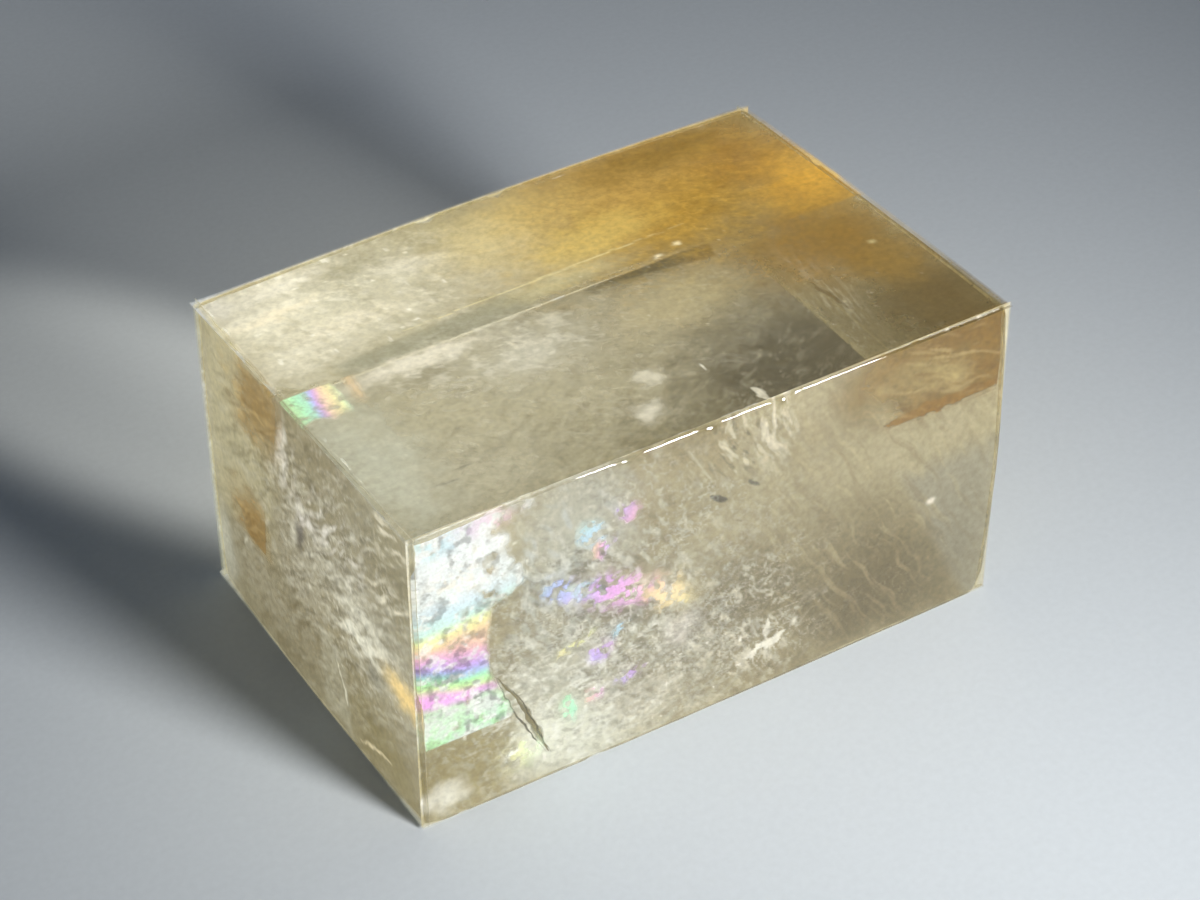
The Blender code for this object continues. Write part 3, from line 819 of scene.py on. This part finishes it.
def streak(a, b, shape, seed):
    """A line between two ends, widest in its middle, that wanders by lumps."""
    start_a, start_b, end_a, end_b, width, wander = shape
    length = math.hypot(end_a - start_a, end_b - start_b)
    turn = math.degrees(math.atan2(end_b - start_b, end_a - start_a))
    along, beside = turned(a, b, start_a, start_b, turn)
    beside = beside + wander * layered_lumps(np.stack((a, b), -1), 0.9, seed)
    share = ramp(along, length)
    half = 0.5 * width * np.sqrt(np.clip(1.0 - (2.0 * share - 1.0) ** 2, 0.0, 1.0))
    inside = (along > 0.0) & (along < length)
    return np.where(inside, ramp(half - np.abs(beside), 0.12), 0.0)


def feathers(a, b, shape, seed):
    """A bundle of fine wisps: stretched lumps above a level, faded towards the bundle's oval rim."""
    middle_a, middle_b, wide, high, turn, length, width, share = shape
    along, beside = turned(a, b, 0.0, 0.0, turn)
    beside = beside + 0.5 * lumps(np.stack((a, b), -1), 2.5, seed + 3)
    grain = layered_lumps(np.stack((along / length, beside / width), -1), 1.0, seed, 3)
    rim = cloud(a, b, (middle_a, middle_b, wide, high, 0.0, 0.12 * min(wide, high)), seed + 11)
    return ramp(grain - 0.55 + share, 0.35) * rim


def specks(a, b, shape, seed):
    """Scattered small grains: the highest tops of small lumps, inside an oval."""
    middle_a, middle_b, wide, high, size, share = shape
    grain = lumps(np.stack((a, b), -1), size, seed)
    rim = cloud(a, b, (middle_a, middle_b, wide, high, 0.0, 1.0), seed + 11)
    return ramp(grain - 1.0 + 2.2 * share, 0.12) * (rim > 0.25)


def crackle(a, b, shape, seed):
    """A web of thin lines where small lumps change sign, broken by larger ones, inside an oval."""
    middle_a, middle_b, wide, high, size, width = shape
    spots = np.stack((a, b), -1)
    web = np.clip(1.0 - np.abs(layered_lumps(spots, size, seed, 4)) / width, 0.0, 1.0)
    broken = np.clip(0.5 + 1.6 * layered_lumps(spots, 2.2 * size, seed + 17, 3), 0.0, 1.0)
    rim = cloud(a, b, (middle_a, middle_b, wide, high, 0.0, 0.12 * min(wide, high)), seed + 11)
    return web * broken * rim


MASKS = {"cloud": cloud, "patch": patch, "streak": streak, "feathers": feathers, "specks": specks,
         "crackle": crackle}


def lay_over(tint, cover, colour, share):
    """One layer over another: its colour takes its share, and the cover grows by what was still clear."""
    total = share + cover * (1.0 - share)
    take = (share / np.maximum(total, 1e-6))[..., None]
    return tint + (colour - tint) * take, total


def lay_marks(a, b, tint, cover, marks, seed):
    """Lays each mark over the veil, one after another."""
    for number, (kind, shape, strength, colour) in enumerate(marks):
        share = np.clip(MASKS[kind](a, b, shape, seed + 40 * number) * strength, 0.0, 1.0)
        tint, cover = lay_over(tint, cover, np.array(linear(colour)[:3]), share)
    return tint, cover


def haze_ground(a, b, pale, deep_tone, cover, turn, seed):
    """The even part of a veil: two tones and a cover that swing with broad, fine and stretched lumps."""
    spots = np.stack((a, b), -1)
    along, beside = turned(a, b, 0.0, 0.0, turn)
    grain = layered_lumps(np.stack((along / 4.0, beside / 0.7), -1), 1.0, seed + 5, 3)
    broad = layered_lumps(spots, 9.0, seed, 5)
    share = np.clip(0.5 + 0.75 * broad + 0.45 * grain, 0.0, 1.0)[..., None]
    tint = np.array(linear(deep_tone)[:3]) * (1.0 - share) + np.array(linear(pale)[:3]) * share
    swing = 1.0 + 0.25 * layered_lumps(spots, 5.0, seed + 9, 4)
    return tint, np.clip(cover * swing, 0.0, 1.0)


def veil_grid(span, cell):
    """Two arrays of millimetres over a span, one value for each corner of a cell."""
    low_a, high_a, low_b, high_b = span
    steps_a = np.linspace(low_a, high_a, round((high_a - low_a) / cell) + 1)
    steps_b = np.linspace(low_b, high_b, round((high_b - low_b) / cell) + 1)
    return np.meshgrid(steps_a, steps_b, indexing="ij")


def veil_piece(name, face, a, b, deep, tint, cover, material):
    """A thin sheet along a face from arrays of place, depth, colour and cover."""
    points = face_spot(face, a, b, deep).reshape(-1, 3)
    colours = np.concatenate((tint, cover[..., None]), -1).reshape(-1, 4)
    piece = make_mesh(name, points, grid_quads(*a.shape), material, colours)
    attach(piece, "root")
    veil_collection().objects.link(piece)
    return piece


def veil_collection():
    """The collection of all veils, which the veil lamps light."""
    return bpy.data.collections.get("veils") or bpy.data.collections.new("veils")


def rim_fade(a, b, span, width):
    """One inside a span, falling to zero at its rim over the given width."""
    low_a, high_a, low_b, high_b = span
    near = np.minimum(np.minimum(a - low_a, high_a - a), np.minimum(b - low_b, high_b - b))
    return ramp(near, width)


def veil_material(name, grain, through):
    """Films of tiny fluid-filled pores: they scatter light back and through in soft mottles. The same shader
    carries the painted light and shade of some veils.
    """
    material, tree, output = new_material(name)
    tint = add_node(tree, "ShaderNodeAttribute", {"attribute_name": "tint"})
    spot = add_node(tree, "ShaderNodeTexCoord")
    fine = add_node(tree, "ShaderNodeTexNoise", Vector=spot.outputs["Object"], Scale=1.0 / (grain * MM),
                    Detail=2.0)
    swing = add_node(tree, "ShaderNodeMapRange", i0=fine.outputs[0], i1=0.25, i2=0.75, i3=0.90, i4=1.10)
    mottled = add_node(tree, "ShaderNodeVectorMath", {"operation": "SCALE"}, i0=tint.outputs["Color"])
    tree.links.new(swing.outputs[0], mottled.inputs["Scale"])
    alpha = add_node(tree, "ShaderNodeMath", {"operation": "MULTIPLY", "use_clamp": True},
                     i0=tint.outputs["Alpha"], i1=swing.outputs[0])
    back = add_node(tree, "ShaderNodeBsdfPrincipled", Base_Color=mottled.outputs[0], Roughness=0.8,
                    Specular_IOR_Level=0.0)
    forward = add_node(tree, "ShaderNodeBsdfTranslucent", Color=mottled.outputs[0])
    clear = tree.nodes.new("ShaderNodeBsdfTransparent")
    lit = add_node(tree, "ShaderNodeMixShader", i0=through, i1=back.outputs["BSDF"], i2=forward.outputs[0])
    veil = add_node(tree, "ShaderNodeMixShader", i0=alpha.outputs[0], i1=clear.outputs[0], i2=lit.outputs[0])
    tree.links.new(veil.outputs[0], output.inputs["Surface"])
    return material


def honey_calcite(crystal):
    """Calcite, hand polished: clear, with a faint honey tint that deepens with the way through it."""
    material, tree, output = new_material("honey_calcite")
    shader = add_node(tree, "ShaderNodeBsdfPrincipled", Base_Color=linear("#FFFFFF"),
                      Roughness=crystal.polish_roughness, IOR=1.658, Transmission_Weight=1.0)
    tint = add_node(tree, "ShaderNodeVolumeAbsorption", Color=[*crystal.honey_tint, 1.0],
                    Density=crystal.tint_density)
    tree.links.new(shader.outputs["BSDF"], output.inputs["Surface"])
    tree.links.new(tint.outputs["Volume"], output.inputs["Volume"])
    return material


def pale_table(stage):
    """Pale matt tabletop with a fine speckle."""
    material, tree, output = new_material("pale_table")
    spot = add_node(tree, "ShaderNodeTexCoord")
    grain = add_node(tree, "ShaderNodeTexNoise", Vector=spot.outputs["Object"], Scale=1400.0, Detail=3.0)
    tone = add_node(tree, "ShaderNodeMix", {"data_type": "RGBA"}, Factor=grain.outputs[0])
    tone.inputs[6].default_value = [0.93 * share for share in stage.table_colour] + [1.0]
    tone.inputs[7].default_value = [1.03 * share for share in stage.table_colour] + [1.0]
    shader = add_node(tree, "ShaderNodeBsdfPrincipled", Base_Color=tone.outputs[2], Roughness=0.6)
    tree.links.new(shader.outputs["BSDF"], output.inputs["Surface"])
    return material


def thin_film(path):
    """Newton's colours: light of each wavelength comes back by the squared sine of its share of the path."""
    waves = np.array((620.0, 540.0, 455.0))
    return np.sin(np.pi * path[..., None] / waves) ** 2


def make_lamp(name, spot, aim, size, power, spread, kind="AREA"):
    """A lamp, a round area one unless told otherwise, that points from its place to its aim."""
    light = bpy.data.lights.new(name, kind)
    light.energy = power
    if kind == "AREA":
        light.shape = "DISK"
        light.size = size
        light.spread = spread
    lamp = bpy.data.objects.new(name, light)
    lamp.location = spot
    lamp.rotation_euler = (Vector(spot) - Vector(aim)).to_track_quat("Z", "Y").to_euler()
    bpy.context.scene.collection.objects.link(lamp)
    return lamp


def banded_colour(a, b, waver, mottle, white):
    """The banded film: Newton's colours by depth, whitened at its top end by painted glare and milky at its
    lower end, with bright flecks of painted glint and dull spots of painted shade.
    """
    spots = np.stack((a, b), -1)
    bend = layered_lumps(np.stack((a / 3.0, b), -1), 1.6, 9250, 3)
    depths, paths = zip(*RAINBOW_BANDS)
    slope = 0.30 * (a - 3.0) * ramp(b - 12.0, 2.0) * ramp(20.0 - b, 2.0)
    path = np.interp(b - slope + 0.5 * bend, depths, paths) + 40.0 * waver
    path = path + 170.0 * mottle * ramp(b - 18.5, 1.5)
    colour = white + (0.94 - white) * thin_film(path)
    # Painted glare: the top end of the film turns white where the lamp's light comes back off the fracture
    pale = ramp(11.0 - b, 3.5)[..., None]
    colour = colour * (1.0 - 0.85 * pale) + np.array((0.90, 0.91, 0.88)) * 0.85 * pale
    # Painted glints and painted shade: bright flecks stand for facets that mirror the lamp, dull spots for
    # facets that don't
    painted_glint = np.clip(3.6 * layered_lumps(spots, 0.75, 9280, 3) - 0.5, 0.0, 1.0)[..., None]
    painted_dark_spot = np.clip(3.6 * layered_lumps(spots, 0.85, 9285, 3) - 0.6, 0.0, 1.0)[..., None]
    milky = ramp(b - 18.6, 1.5) * np.clip(0.55 + 1.2 * mottle, 0.0, 0.9)
    colour = colour + (0.80 - colour) * milky[..., None]
    colour = colour + (0.95 - colour) * 0.75 * painted_glint
    colour = colour * (1.0 - 0.5 * painted_dark_spot)
    line = crackle(a, b, (6.0, 12.0, 26.0, 40.0, 1.0, 0.12), 9290)[..., None]
    return colour * (1.0 - 0.4 * line)


def banded_cover(a, b, waver, mottle):
    """The banded film's cover: ragged on the right, mottled at the top and cut off flat below."""
    heights, widths = zip(*RAINBOW_EDGE)
    edge = np.interp(b, heights, widths)
    low = ramp(b - 9.5, 1.5)
    body = np.clip((edge + (2.2 - 1.4 * low) * waver - a) / (2.2 - 1.5 * low), 0.0, 1.0)
    thinned = ramp(a - 6.0, 6.0) * (1.0 - low)
    body = body * np.clip(1.25 + 1.6 * mottle - thinned, 0.0, 1.0)
    return 0.95 * body * ramp(23.5 - b, 0.15) * ramp(b - 0.3, 0.4)


def lay_film_spots(a, b, waver, colour, cover):
    """Lays the fracture's loose coloured spots over the banded film, each broken up by small lumps."""
    spots = np.stack((a, b), -1)
    for number, spot in enumerate(RAINBOW_SPOTS):
        middle_a, middle_b, wide, high, turn, first, last, strength = spot
        seed = 9300 + 20 * number
        along, _ = turned(a, b, middle_a, middle_b, turn)
        path = first + (last - first) * np.clip(along / wide + 0.5, 0.0, 1.0) + 25.0 * waver
        mask = cloud(a, b, (middle_a, middle_b, wide, high, turn, 0.7), seed)
        broken = np.clip(0.60 + 3.2 * layered_lumps(spots, 0.6, seed + 9, 3), 0.0, 1.0)
        share = np.clip(mask * broken * strength, 0.0, 1.0)
        colour, cover = lay_over(colour, cover, 0.44 + 0.54 * thin_film(path), share)
    return colour, cover


def flake_tint(a, b):
    """Colour and cover of the flake below the top face: four bands side by side, then a faint warm strip."""
    spots = np.stack((a, b), -1)
    waver = layered_lumps(spots, 1.6, 9700, 3)
    steps, paths = zip(*FLAKE_BANDS)
    path = np.interp(a + 0.3 * waver + 0.12 * (b - 21.0), steps, paths)
    colour = 0.48 + 0.44 * thin_film(path + 30.0 * waver)
    cover = ramp(5.3 - a + 0.3 * waver, 0.5) * ramp(a - 0.3, 0.3)
    cover = cover * ramp(b - 18.8, 0.15) * ramp(23.6 - b + waver, 1.0)
    strip = np.clip(1.0 - np.abs(a - 6.5 + 0.1 * (b - 21.0) + 0.3 * waver) / 0.8, 0.0, 1.0)
    strip = strip * ramp(b - 18.8, 0.15) * ramp(23.4 - b, 1.5) * 0.6
    take = (strip / np.maximum(strip + cover, 1e-6))[..., None]
    colour = colour + (np.array(linear("#DCC09A")[:3]) - colour) * take
    broken = np.clip(0.9 + 1.2 * layered_lumps(spots, 0.8, 9710, 3), 0.0, 1.0)
    return colour, np.maximum(0.85 * cover * broken, strip)


class CrystalSettings(bpy.types.PropertyGroup):
    """Sizes and colours of the polished crystal."""
    edge_round: bpy.props.FloatProperty(
        name="Edge Wear", description="Radius of the worn edges", default=0.24 * MM, min=0.05 * MM,
        max=1.0 * MM, unit="LENGTH", precision=5)
    chip_keep: bpy.props.FloatProperty(
        name="Chip Size", description="Size of the edge chips as a share of the packed solid's",
        default=0.5, min=0.1, max=1.0, subtype="FACTOR")
    polish_roughness: bpy.props.FloatProperty(
        name="Polish", description="Roughness that the hand polish leaves", default=0.02, min=0.0, max=1.0,
        subtype="FACTOR")
    honey_tint: bpy.props.FloatVectorProperty(
        name="Honey Tint", description="Colour that the crystal gives to light on its way through",
        default=linear("#EFE2B8")[:3], min=0.0, max=1.0, size=3, subtype="COLOR")
    tint_density: bpy.props.FloatProperty(
        name="Tint Strength", description="Absorption for each metre of the way", default=2.5, min=0.0)


class VeilSettings(bpy.types.PropertyGroup):
    """Strength of the haze, films and fractures inside the crystal."""
    haze_cover: bpy.props.FloatProperty(
        name="Haze", description="Cover of the haze below the faces, as a share of the specimen's",
        default=1.0, min=0.0, max=2.0, subtype="FACTOR")
    haze_bend: bpy.props.FloatProperty(
        name="Haze Swing", description="How far the haze waves about its depth", default=0.15 * MM,
        min=0.0, max=2.0 * MM, unit="LENGTH", precision=5)
    film_white: bpy.props.FloatProperty(
        name="Pastel", description="Share of white in the rainbow fracture's colours", default=0.46,
        min=0.0, max=1.0, subtype="FACTOR")


class StageSettings(bpy.types.PropertyGroup):
    """The table, the lamps and the room's light."""
    table_colour: bpy.props.FloatVectorProperty(
        name="Tabletop", description="Colour of the pale tabletop", default=linear("#D2D9DF")[:3],
        min=0.0, max=1.0, size=3, subtype="COLOR")
    key_power: bpy.props.FloatProperty(
        name="Key Power", description="Power of the lamp that casts the shadow", default=0.345, min=0.0,
        subtype="POWER")
    key_size: bpy.props.FloatProperty(
        name="Key Size", description="Width of that lamp", default=0.058, min=0.001, unit="LENGTH")
    key_spread: bpy.props.FloatProperty(
        name="Key Spread", description="Width of its cone of light", default=math.radians(92.0),
        min=0.02, max=math.pi, subtype="ANGLE")
    veil_power: bpy.props.FloatProperty(
        name="Veil Light", description="Share of their power that the veils' own lamps give", default=1.0,
        min=0.0, max=4.0, subtype="FACTOR")
    glow_share: bpy.props.FloatProperty(
        name="Passed-on Light", description="Share of their power that those lamps give",
        default=1.0, min=0.0, max=4.0, subtype="FACTOR")
    room_strength: bpy.props.FloatProperty(
        name="Room Light", description="Strength of the even light from all round", default=0.14, min=0.0)


class CALCITE_OT_make_skin(bpy.types.Operator):
    """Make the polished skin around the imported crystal"""
    bl_idname = "calcite.make_skin"
    bl_label = "Crystal Skin"

    def execute(self, context):
        crystal = context.scene.calcite_crystal
        cube, quads = skin_grids()
        points = skin_points(cube, crystal.edge_round, crystal.chip_keep)
        skin = make_mesh("crystal_skin", points, quads, honey_calcite(crystal))
        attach(skin, "root")
        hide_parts("calcite_rhomb")
        return {"FINISHED"}


class CALCITE_OT_make_haze(bpy.types.Operator):
    """Make the mottled haze below each of the six faces"""
    bl_idname = "calcite.make_haze"
    bl_label = "Haze Below the Faces"

    def execute(self, context):
        veils = context.scene.calcite_veils
        material = veil_material("healed_haze", 0.6, 0.4)
        for number, (face, (pale, deep_tone, cover, deep, turn, cell)) in enumerate(HAZE.items()):
            seed = 1000 * (number + 1)
            wide, high = face_size(face)
            span = (HAZE_MARGIN, wide - HAZE_MARGIN, HAZE_MARGIN, high - HAZE_MARGIN)
            a, b = veil_grid(span, cell)
            tint, thick = haze_ground(a, b, pale, deep_tone, cover * veils.haze_cover, turn, seed)
            tint, thick = lay_marks(a, b, tint, thick, VEIL_MARKS[face], seed)
            bend = veils.haze_bend / MM * layered_lumps(np.stack((a, b), -1), 11.0, seed + 30)
            thick = thick * rim_fade(a, b, span, HAZE_RIM_FADE)
            rise = np.sqrt(rim_fade(a, b, span, HAZE_RISE))
            depth = HAZE_RIM_DEPTH + (deep + bend - HAZE_RIM_DEPTH) * rise
            veil_piece(face + "_haze", face, a, b, depth, tint, thick, material)
        return {"FINISHED"}


class CALCITE_OT_make_glow_films(bpy.types.Operator):
    """Make the films that paint the amber glow of the lit table, as seen through the front and left faces"""
    bl_idname = "calcite.make_stains"
    bl_label = "Painted Glow Films"

    def execute(self, context):
        # These films are painted light: the table lit through the block, as seen through the faces
        material = veil_material("painted_glow_film", 0.6, 0.4)
        for number, (name, (face, span, deep, marks)) in enumerate(PAINTED_GLOW_FILMS.items()):
            a, b = veil_grid(span, VEIL_CELL)
            bare = np.zeros_like(a)
            tint, thick = lay_marks(a, b, np.zeros(a.shape + (3,)), bare, marks, 8000 + 500 * number)
            veil_piece(name, face, a, b, deep, tint, thick, material)
        return {"FINISHED"}


class CALCITE_OT_make_rainbow(bpy.types.Operator):
    """Make the fracture whose thin film of air splits light into rainbow bands"""
    bl_idname = "calcite.make_rainbow"
    bl_label = "Rainbow Fracture"

    def execute(self, context):
        white = context.scene.calcite_veils.film_white
        material = veil_material("open_fracture_film", 0.3, 0.3)
        a, b = veil_grid(RAINBOW_SPAN, RAINBOW_CELL)
        spots = np.stack((a, b), -1)
        waver = layered_lumps(spots, 2.4, 9100, 4)
        mottle = layered_lumps(spots, 1.3, 9200, 4)
        colour = banded_colour(a, b, waver, mottle, white)
        cover = banded_cover(a, b, waver, mottle)
        colour, cover = lay_film_spots(a, b, waver, colour, cover)
        deep = FILM_DEPTH + 0.05 * waver
        veil_piece("rainbow_fracture", "front", a, b, deep, colour, cover, material)
        a, b = veil_grid(FLAKE_SPAN, RAINBOW_CELL)
        colour, cover = flake_tint(a, b)
        veil_piece("rainbow_flake", "top", a, b, np.full_like(a, FILM_DEPTH), colour, cover, material)
        return {"FINISHED"}


class CALCITE_OT_make_cracks(bpy.types.Operator):
    """Make the thin dark cracks that cross the veils"""
    bl_idname = "calcite.make_cracks"
    bl_label = "Cracks"

    def execute(self, context):
        material = veil_material("open_crack", 0.3, 0.3)
        for number, (name, (face, deep, width, colour, corners)) in enumerate(CRACKS.items()):
            corners = np.array(corners, float)
            steps = np.linspace(0.0, len(corners) - 1.0, 60)
            line = np.stack([np.interp(steps, np.arange(len(corners)), corners[:, i]) for i in (0, 1)], -1)
            wander = (lumps(line, 0.7, 9900 + number), lumps(line, 0.7, 9950 + number))
            line = line + 0.12 * np.stack(wander, -1)
            run = unit(np.gradient(line, axis=0))
            beside = np.stack((-run[:, 1], run[:, 0]), -1)
            half = 0.5 * width * np.sin(np.pi * np.linspace(0.02, 0.98, 60))
            half = half * (1.0 + 0.4 * lumps(line, 0.8, 9970 + number))
            rows = np.linspace(-1.0, 1.0, 7)
            grid = line[:, None, :] + beside[:, None, :] * (half[:, None] * rows)[..., None]
            cover = np.broadcast_to(0.85 * (1.0 - np.abs(rows) ** 3), grid.shape[:2])
            tint = np.broadcast_to(np.array(linear(colour)[:3]), grid.shape[:2] + (3,))
            depth = deep + 0.05 * np.broadcast_to(rows, grid.shape[:2])
            veil_piece(name, face, grid[..., 0], grid[..., 1], depth, tint, cover, material)
        return {"FINISHED"}


class CALCITE_OT_make_frost(bpy.types.Operator):
    """Make the white, bruised wear just inside the edges"""
    bl_idname = "calcite.make_frost"
    bl_label = "Edge Frost"

    def execute(self, context):
        material = veil_material("bruised_edge", 0.25, 0.4)
        for number, (name, (first, last, strength)) in enumerate(EDGE_FROST.items()):
            start = domed_corner(*first)
            end = domed_corner(*last)
            length = np.linalg.norm(end - start)
            shares = np.linspace(0.01, 0.99, round(length / FROST_CELL) + 1)
            middle = place(*(0.5 * (np.array(first) + np.array(last))))
            inward = unit(MIDDLE - middle)
            across = unit(np.cross(inward, end - start))
            rows = np.linspace(-1.0, 1.0, 7)
            line = start + (end - start) * shares[:, None]
            along = np.stack((shares * length, np.full_like(shares, number * 0.1)), -1)
            nick = np.clip(layered_lumps(along, 1.1 * MM, 9800 + number, 4) * 3.0 - 0.2, 0.0, 1.0)
            worn = np.clip(1.0 + 2.0 * layered_lumps(along, 9.0 * MM, 9850 + number, 2), 0.15, 1.0)
            half = (0.08 + 0.10 * nick * worn) * MM
            points = (line + inward * FROST_DEPTH)[:, None, :] + across * (half[:, None] * rows)[..., None]
            points = points + inward * (0.25 * MM * np.abs(rows) * nick[:, None])[..., None]
            cover = strength * (0.40 + 0.60 * nick * worn)[:, None] * (1.0 - np.abs(rows) ** 3)
            tint = np.broadcast_to(np.array(linear(FROST_COLOUR)[:3]), cover.shape + (3,))
            colours = np.concatenate((tint, cover[..., None]), -1).reshape(-1, 4)
            piece = make_mesh(name, points.reshape(-1, 3), grid_quads(*cover.shape), material, colours)
            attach(piece, "root")
            veil_collection().objects.link(piece)
        return {"FINISHED"}


class CALCITE_OT_make_stage(bpy.types.Operator):
    """Make the tabletop, the lamps, the room's light and the camera"""
    bl_idname = "calcite.make_stage"
    bl_label = "Stage"

    def execute(self, context):
        stage = context.scene.calcite_stage
        scene = context.scene
        rows = np.linspace(-TABLE_REACH, TABLE_REACH, 19)
        x, y = np.meshgrid(rows, rows, indexing="ij")
        points = np.stack((x, y, np.full_like(x, -TABLE_DROP)), -1).reshape(-1, 3)
        floor = make_mesh("tabletop", points, grid_quads(*x.shape), pale_table(stage))
        world = bpy.data.worlds.new("soft_room")
        world.use_nodes = True
        background = world.node_tree.nodes["Background"]
        background.inputs["Color"].default_value = linear("#B7C6DA")
        background.inputs["Strength"].default_value = stage.room_strength
        scene.world = world
        key = make_lamp("key_window", KEY_PLACE, KEY_AIM, stage.key_size, stage.key_power, stage.key_spread)
        key.data.color = KEY_COLOUR
        # Shadow rays stop at the clear skin, so lamps of their own light the veils, and only the table
        # shades them
        table = bpy.data.collections.new("table")
        table.objects.link(floor)
        for name, (spot, power) in VEIL_LAMPS.items():
            lamp = make_lamp(name, spot, VEIL_LAMP_AIM, VEIL_LAMP_SIZE, power * stage.veil_power, math.pi)
            lamp.data.color = VEIL_LAMP_COLOUR
            lamp.light_linking.receiver_collection = veil_collection()
            lamp.light_linking.blocker_collection = table
        # A path tracer finds the light that the clear block passes on too seldom, so lamps stand in for it
        for name, (spot, aim, cone, softness, power) in PASSED_LIGHT.items():
            glow = make_lamp(name, spot, aim, 0.0, power * stage.glow_share, math.pi, "SPOT")
            glow.data.color = PASSED_COLOUR
            glow.data.spot_size = math.radians(cone)
            glow.data.spot_blend = softness
            glow.data.shadow_soft_size = PASSED_LAMP_RADIUS
            glow.light_linking.receiver_collection = table
            glow.light_linking.blocker_collection = table
        camera = bpy.data.cameras.new("camera")
        camera.lens = CAMERA_LENS
        camera.sensor_width = CAMERA_SENSOR
        camera.clip_start = 0.01
        eye = bpy.data.objects.new("camera", camera)
        look = Vector(CAMERA_LOOK).normalized()
        right = look.cross(Vector(CAMERA_UP)).normalized()
        turn = Matrix((right, right.cross(look), -look)).transposed().to_4x4()
        eye.matrix_world = Matrix.Translation(Vector(CAMERA_PLACE)) @ turn
        scene.collection.objects.link(eye)
        scene.camera = eye
        scene.view_settings.view_transform = "Standard"
        scene.cycles.max_bounces = 18
        scene.cycles.glossy_bounces = 12
        scene.cycles.transmission_bounces = 12
        scene.cycles.diffuse_bounces = 2
        scene.cycles.transparent_max_bounces = 24
        scene.cycles.blur_glossy = 0.2
        scene.cycles.sample_clamp_indirect = 8.0
        return {"FINISHED"}


class CALCITE_PT_panel(bpy.types.Panel):
    """Lists the settings and the steps that make the specimen"""
    bl_idname = "CALCITE_PT_panel"
    bl_label = "Calcite Specimen"
    bl_space_type = "VIEW_3D"
    bl_region_type = "UI"
    bl_category = "Calcite"

    def draw(self, context):
        layout = self.layout
        for name in SETTINGS:
            group = getattr(context.scene, name)
            box = layout.box()
            for setting in group.__annotations__:
                box.prop(group, setting)
        for operator in OPERATORS:
            layout.operator(operator.bl_idname)


SETTINGS = {"calcite_crystal": CrystalSettings, "calcite_veils": VeilSettings,
            "calcite_stage": StageSettings}
OPERATORS = (CALCITE_OT_make_skin, CALCITE_OT_make_haze, CALCITE_OT_make_glow_films, CALCITE_OT_make_rainbow,
             CALCITE_OT_make_cracks, CALCITE_OT_make_frost, CALCITE_OT_make_stage)


def register():
    for group in SETTINGS.values():
        bpy.utils.register_class(group)
    for operator in OPERATORS:
        bpy.utils.register_class(operator)
    bpy.utils.register_class(CALCITE_PT_panel)
    for name, group in SETTINGS.items():
        setattr(bpy.types.Scene, name, bpy.props.PointerProperty(type=group))


def unregister():
    for name in SETTINGS:
        delattr(bpy.types.Scene, name)
    bpy.utils.unregister_class(CALCITE_PT_panel)
    for operator in reversed(OPERATORS):
        bpy.utils.unregister_class(operator)
    for group in SETTINGS.values():
        bpy.utils.unregister_class(group)


def main():
    register()
    bpy.ops.calcite.make_skin()
    bpy.ops.calcite.make_haze()
    bpy.ops.calcite.make_stains()
    bpy.ops.calcite.make_rainbow()
    bpy.ops.calcite.make_cracks()
    bpy.ops.calcite.make_frost()
    bpy.ops.calcite.make_stage()


if __name__ == "__main__":
    main()
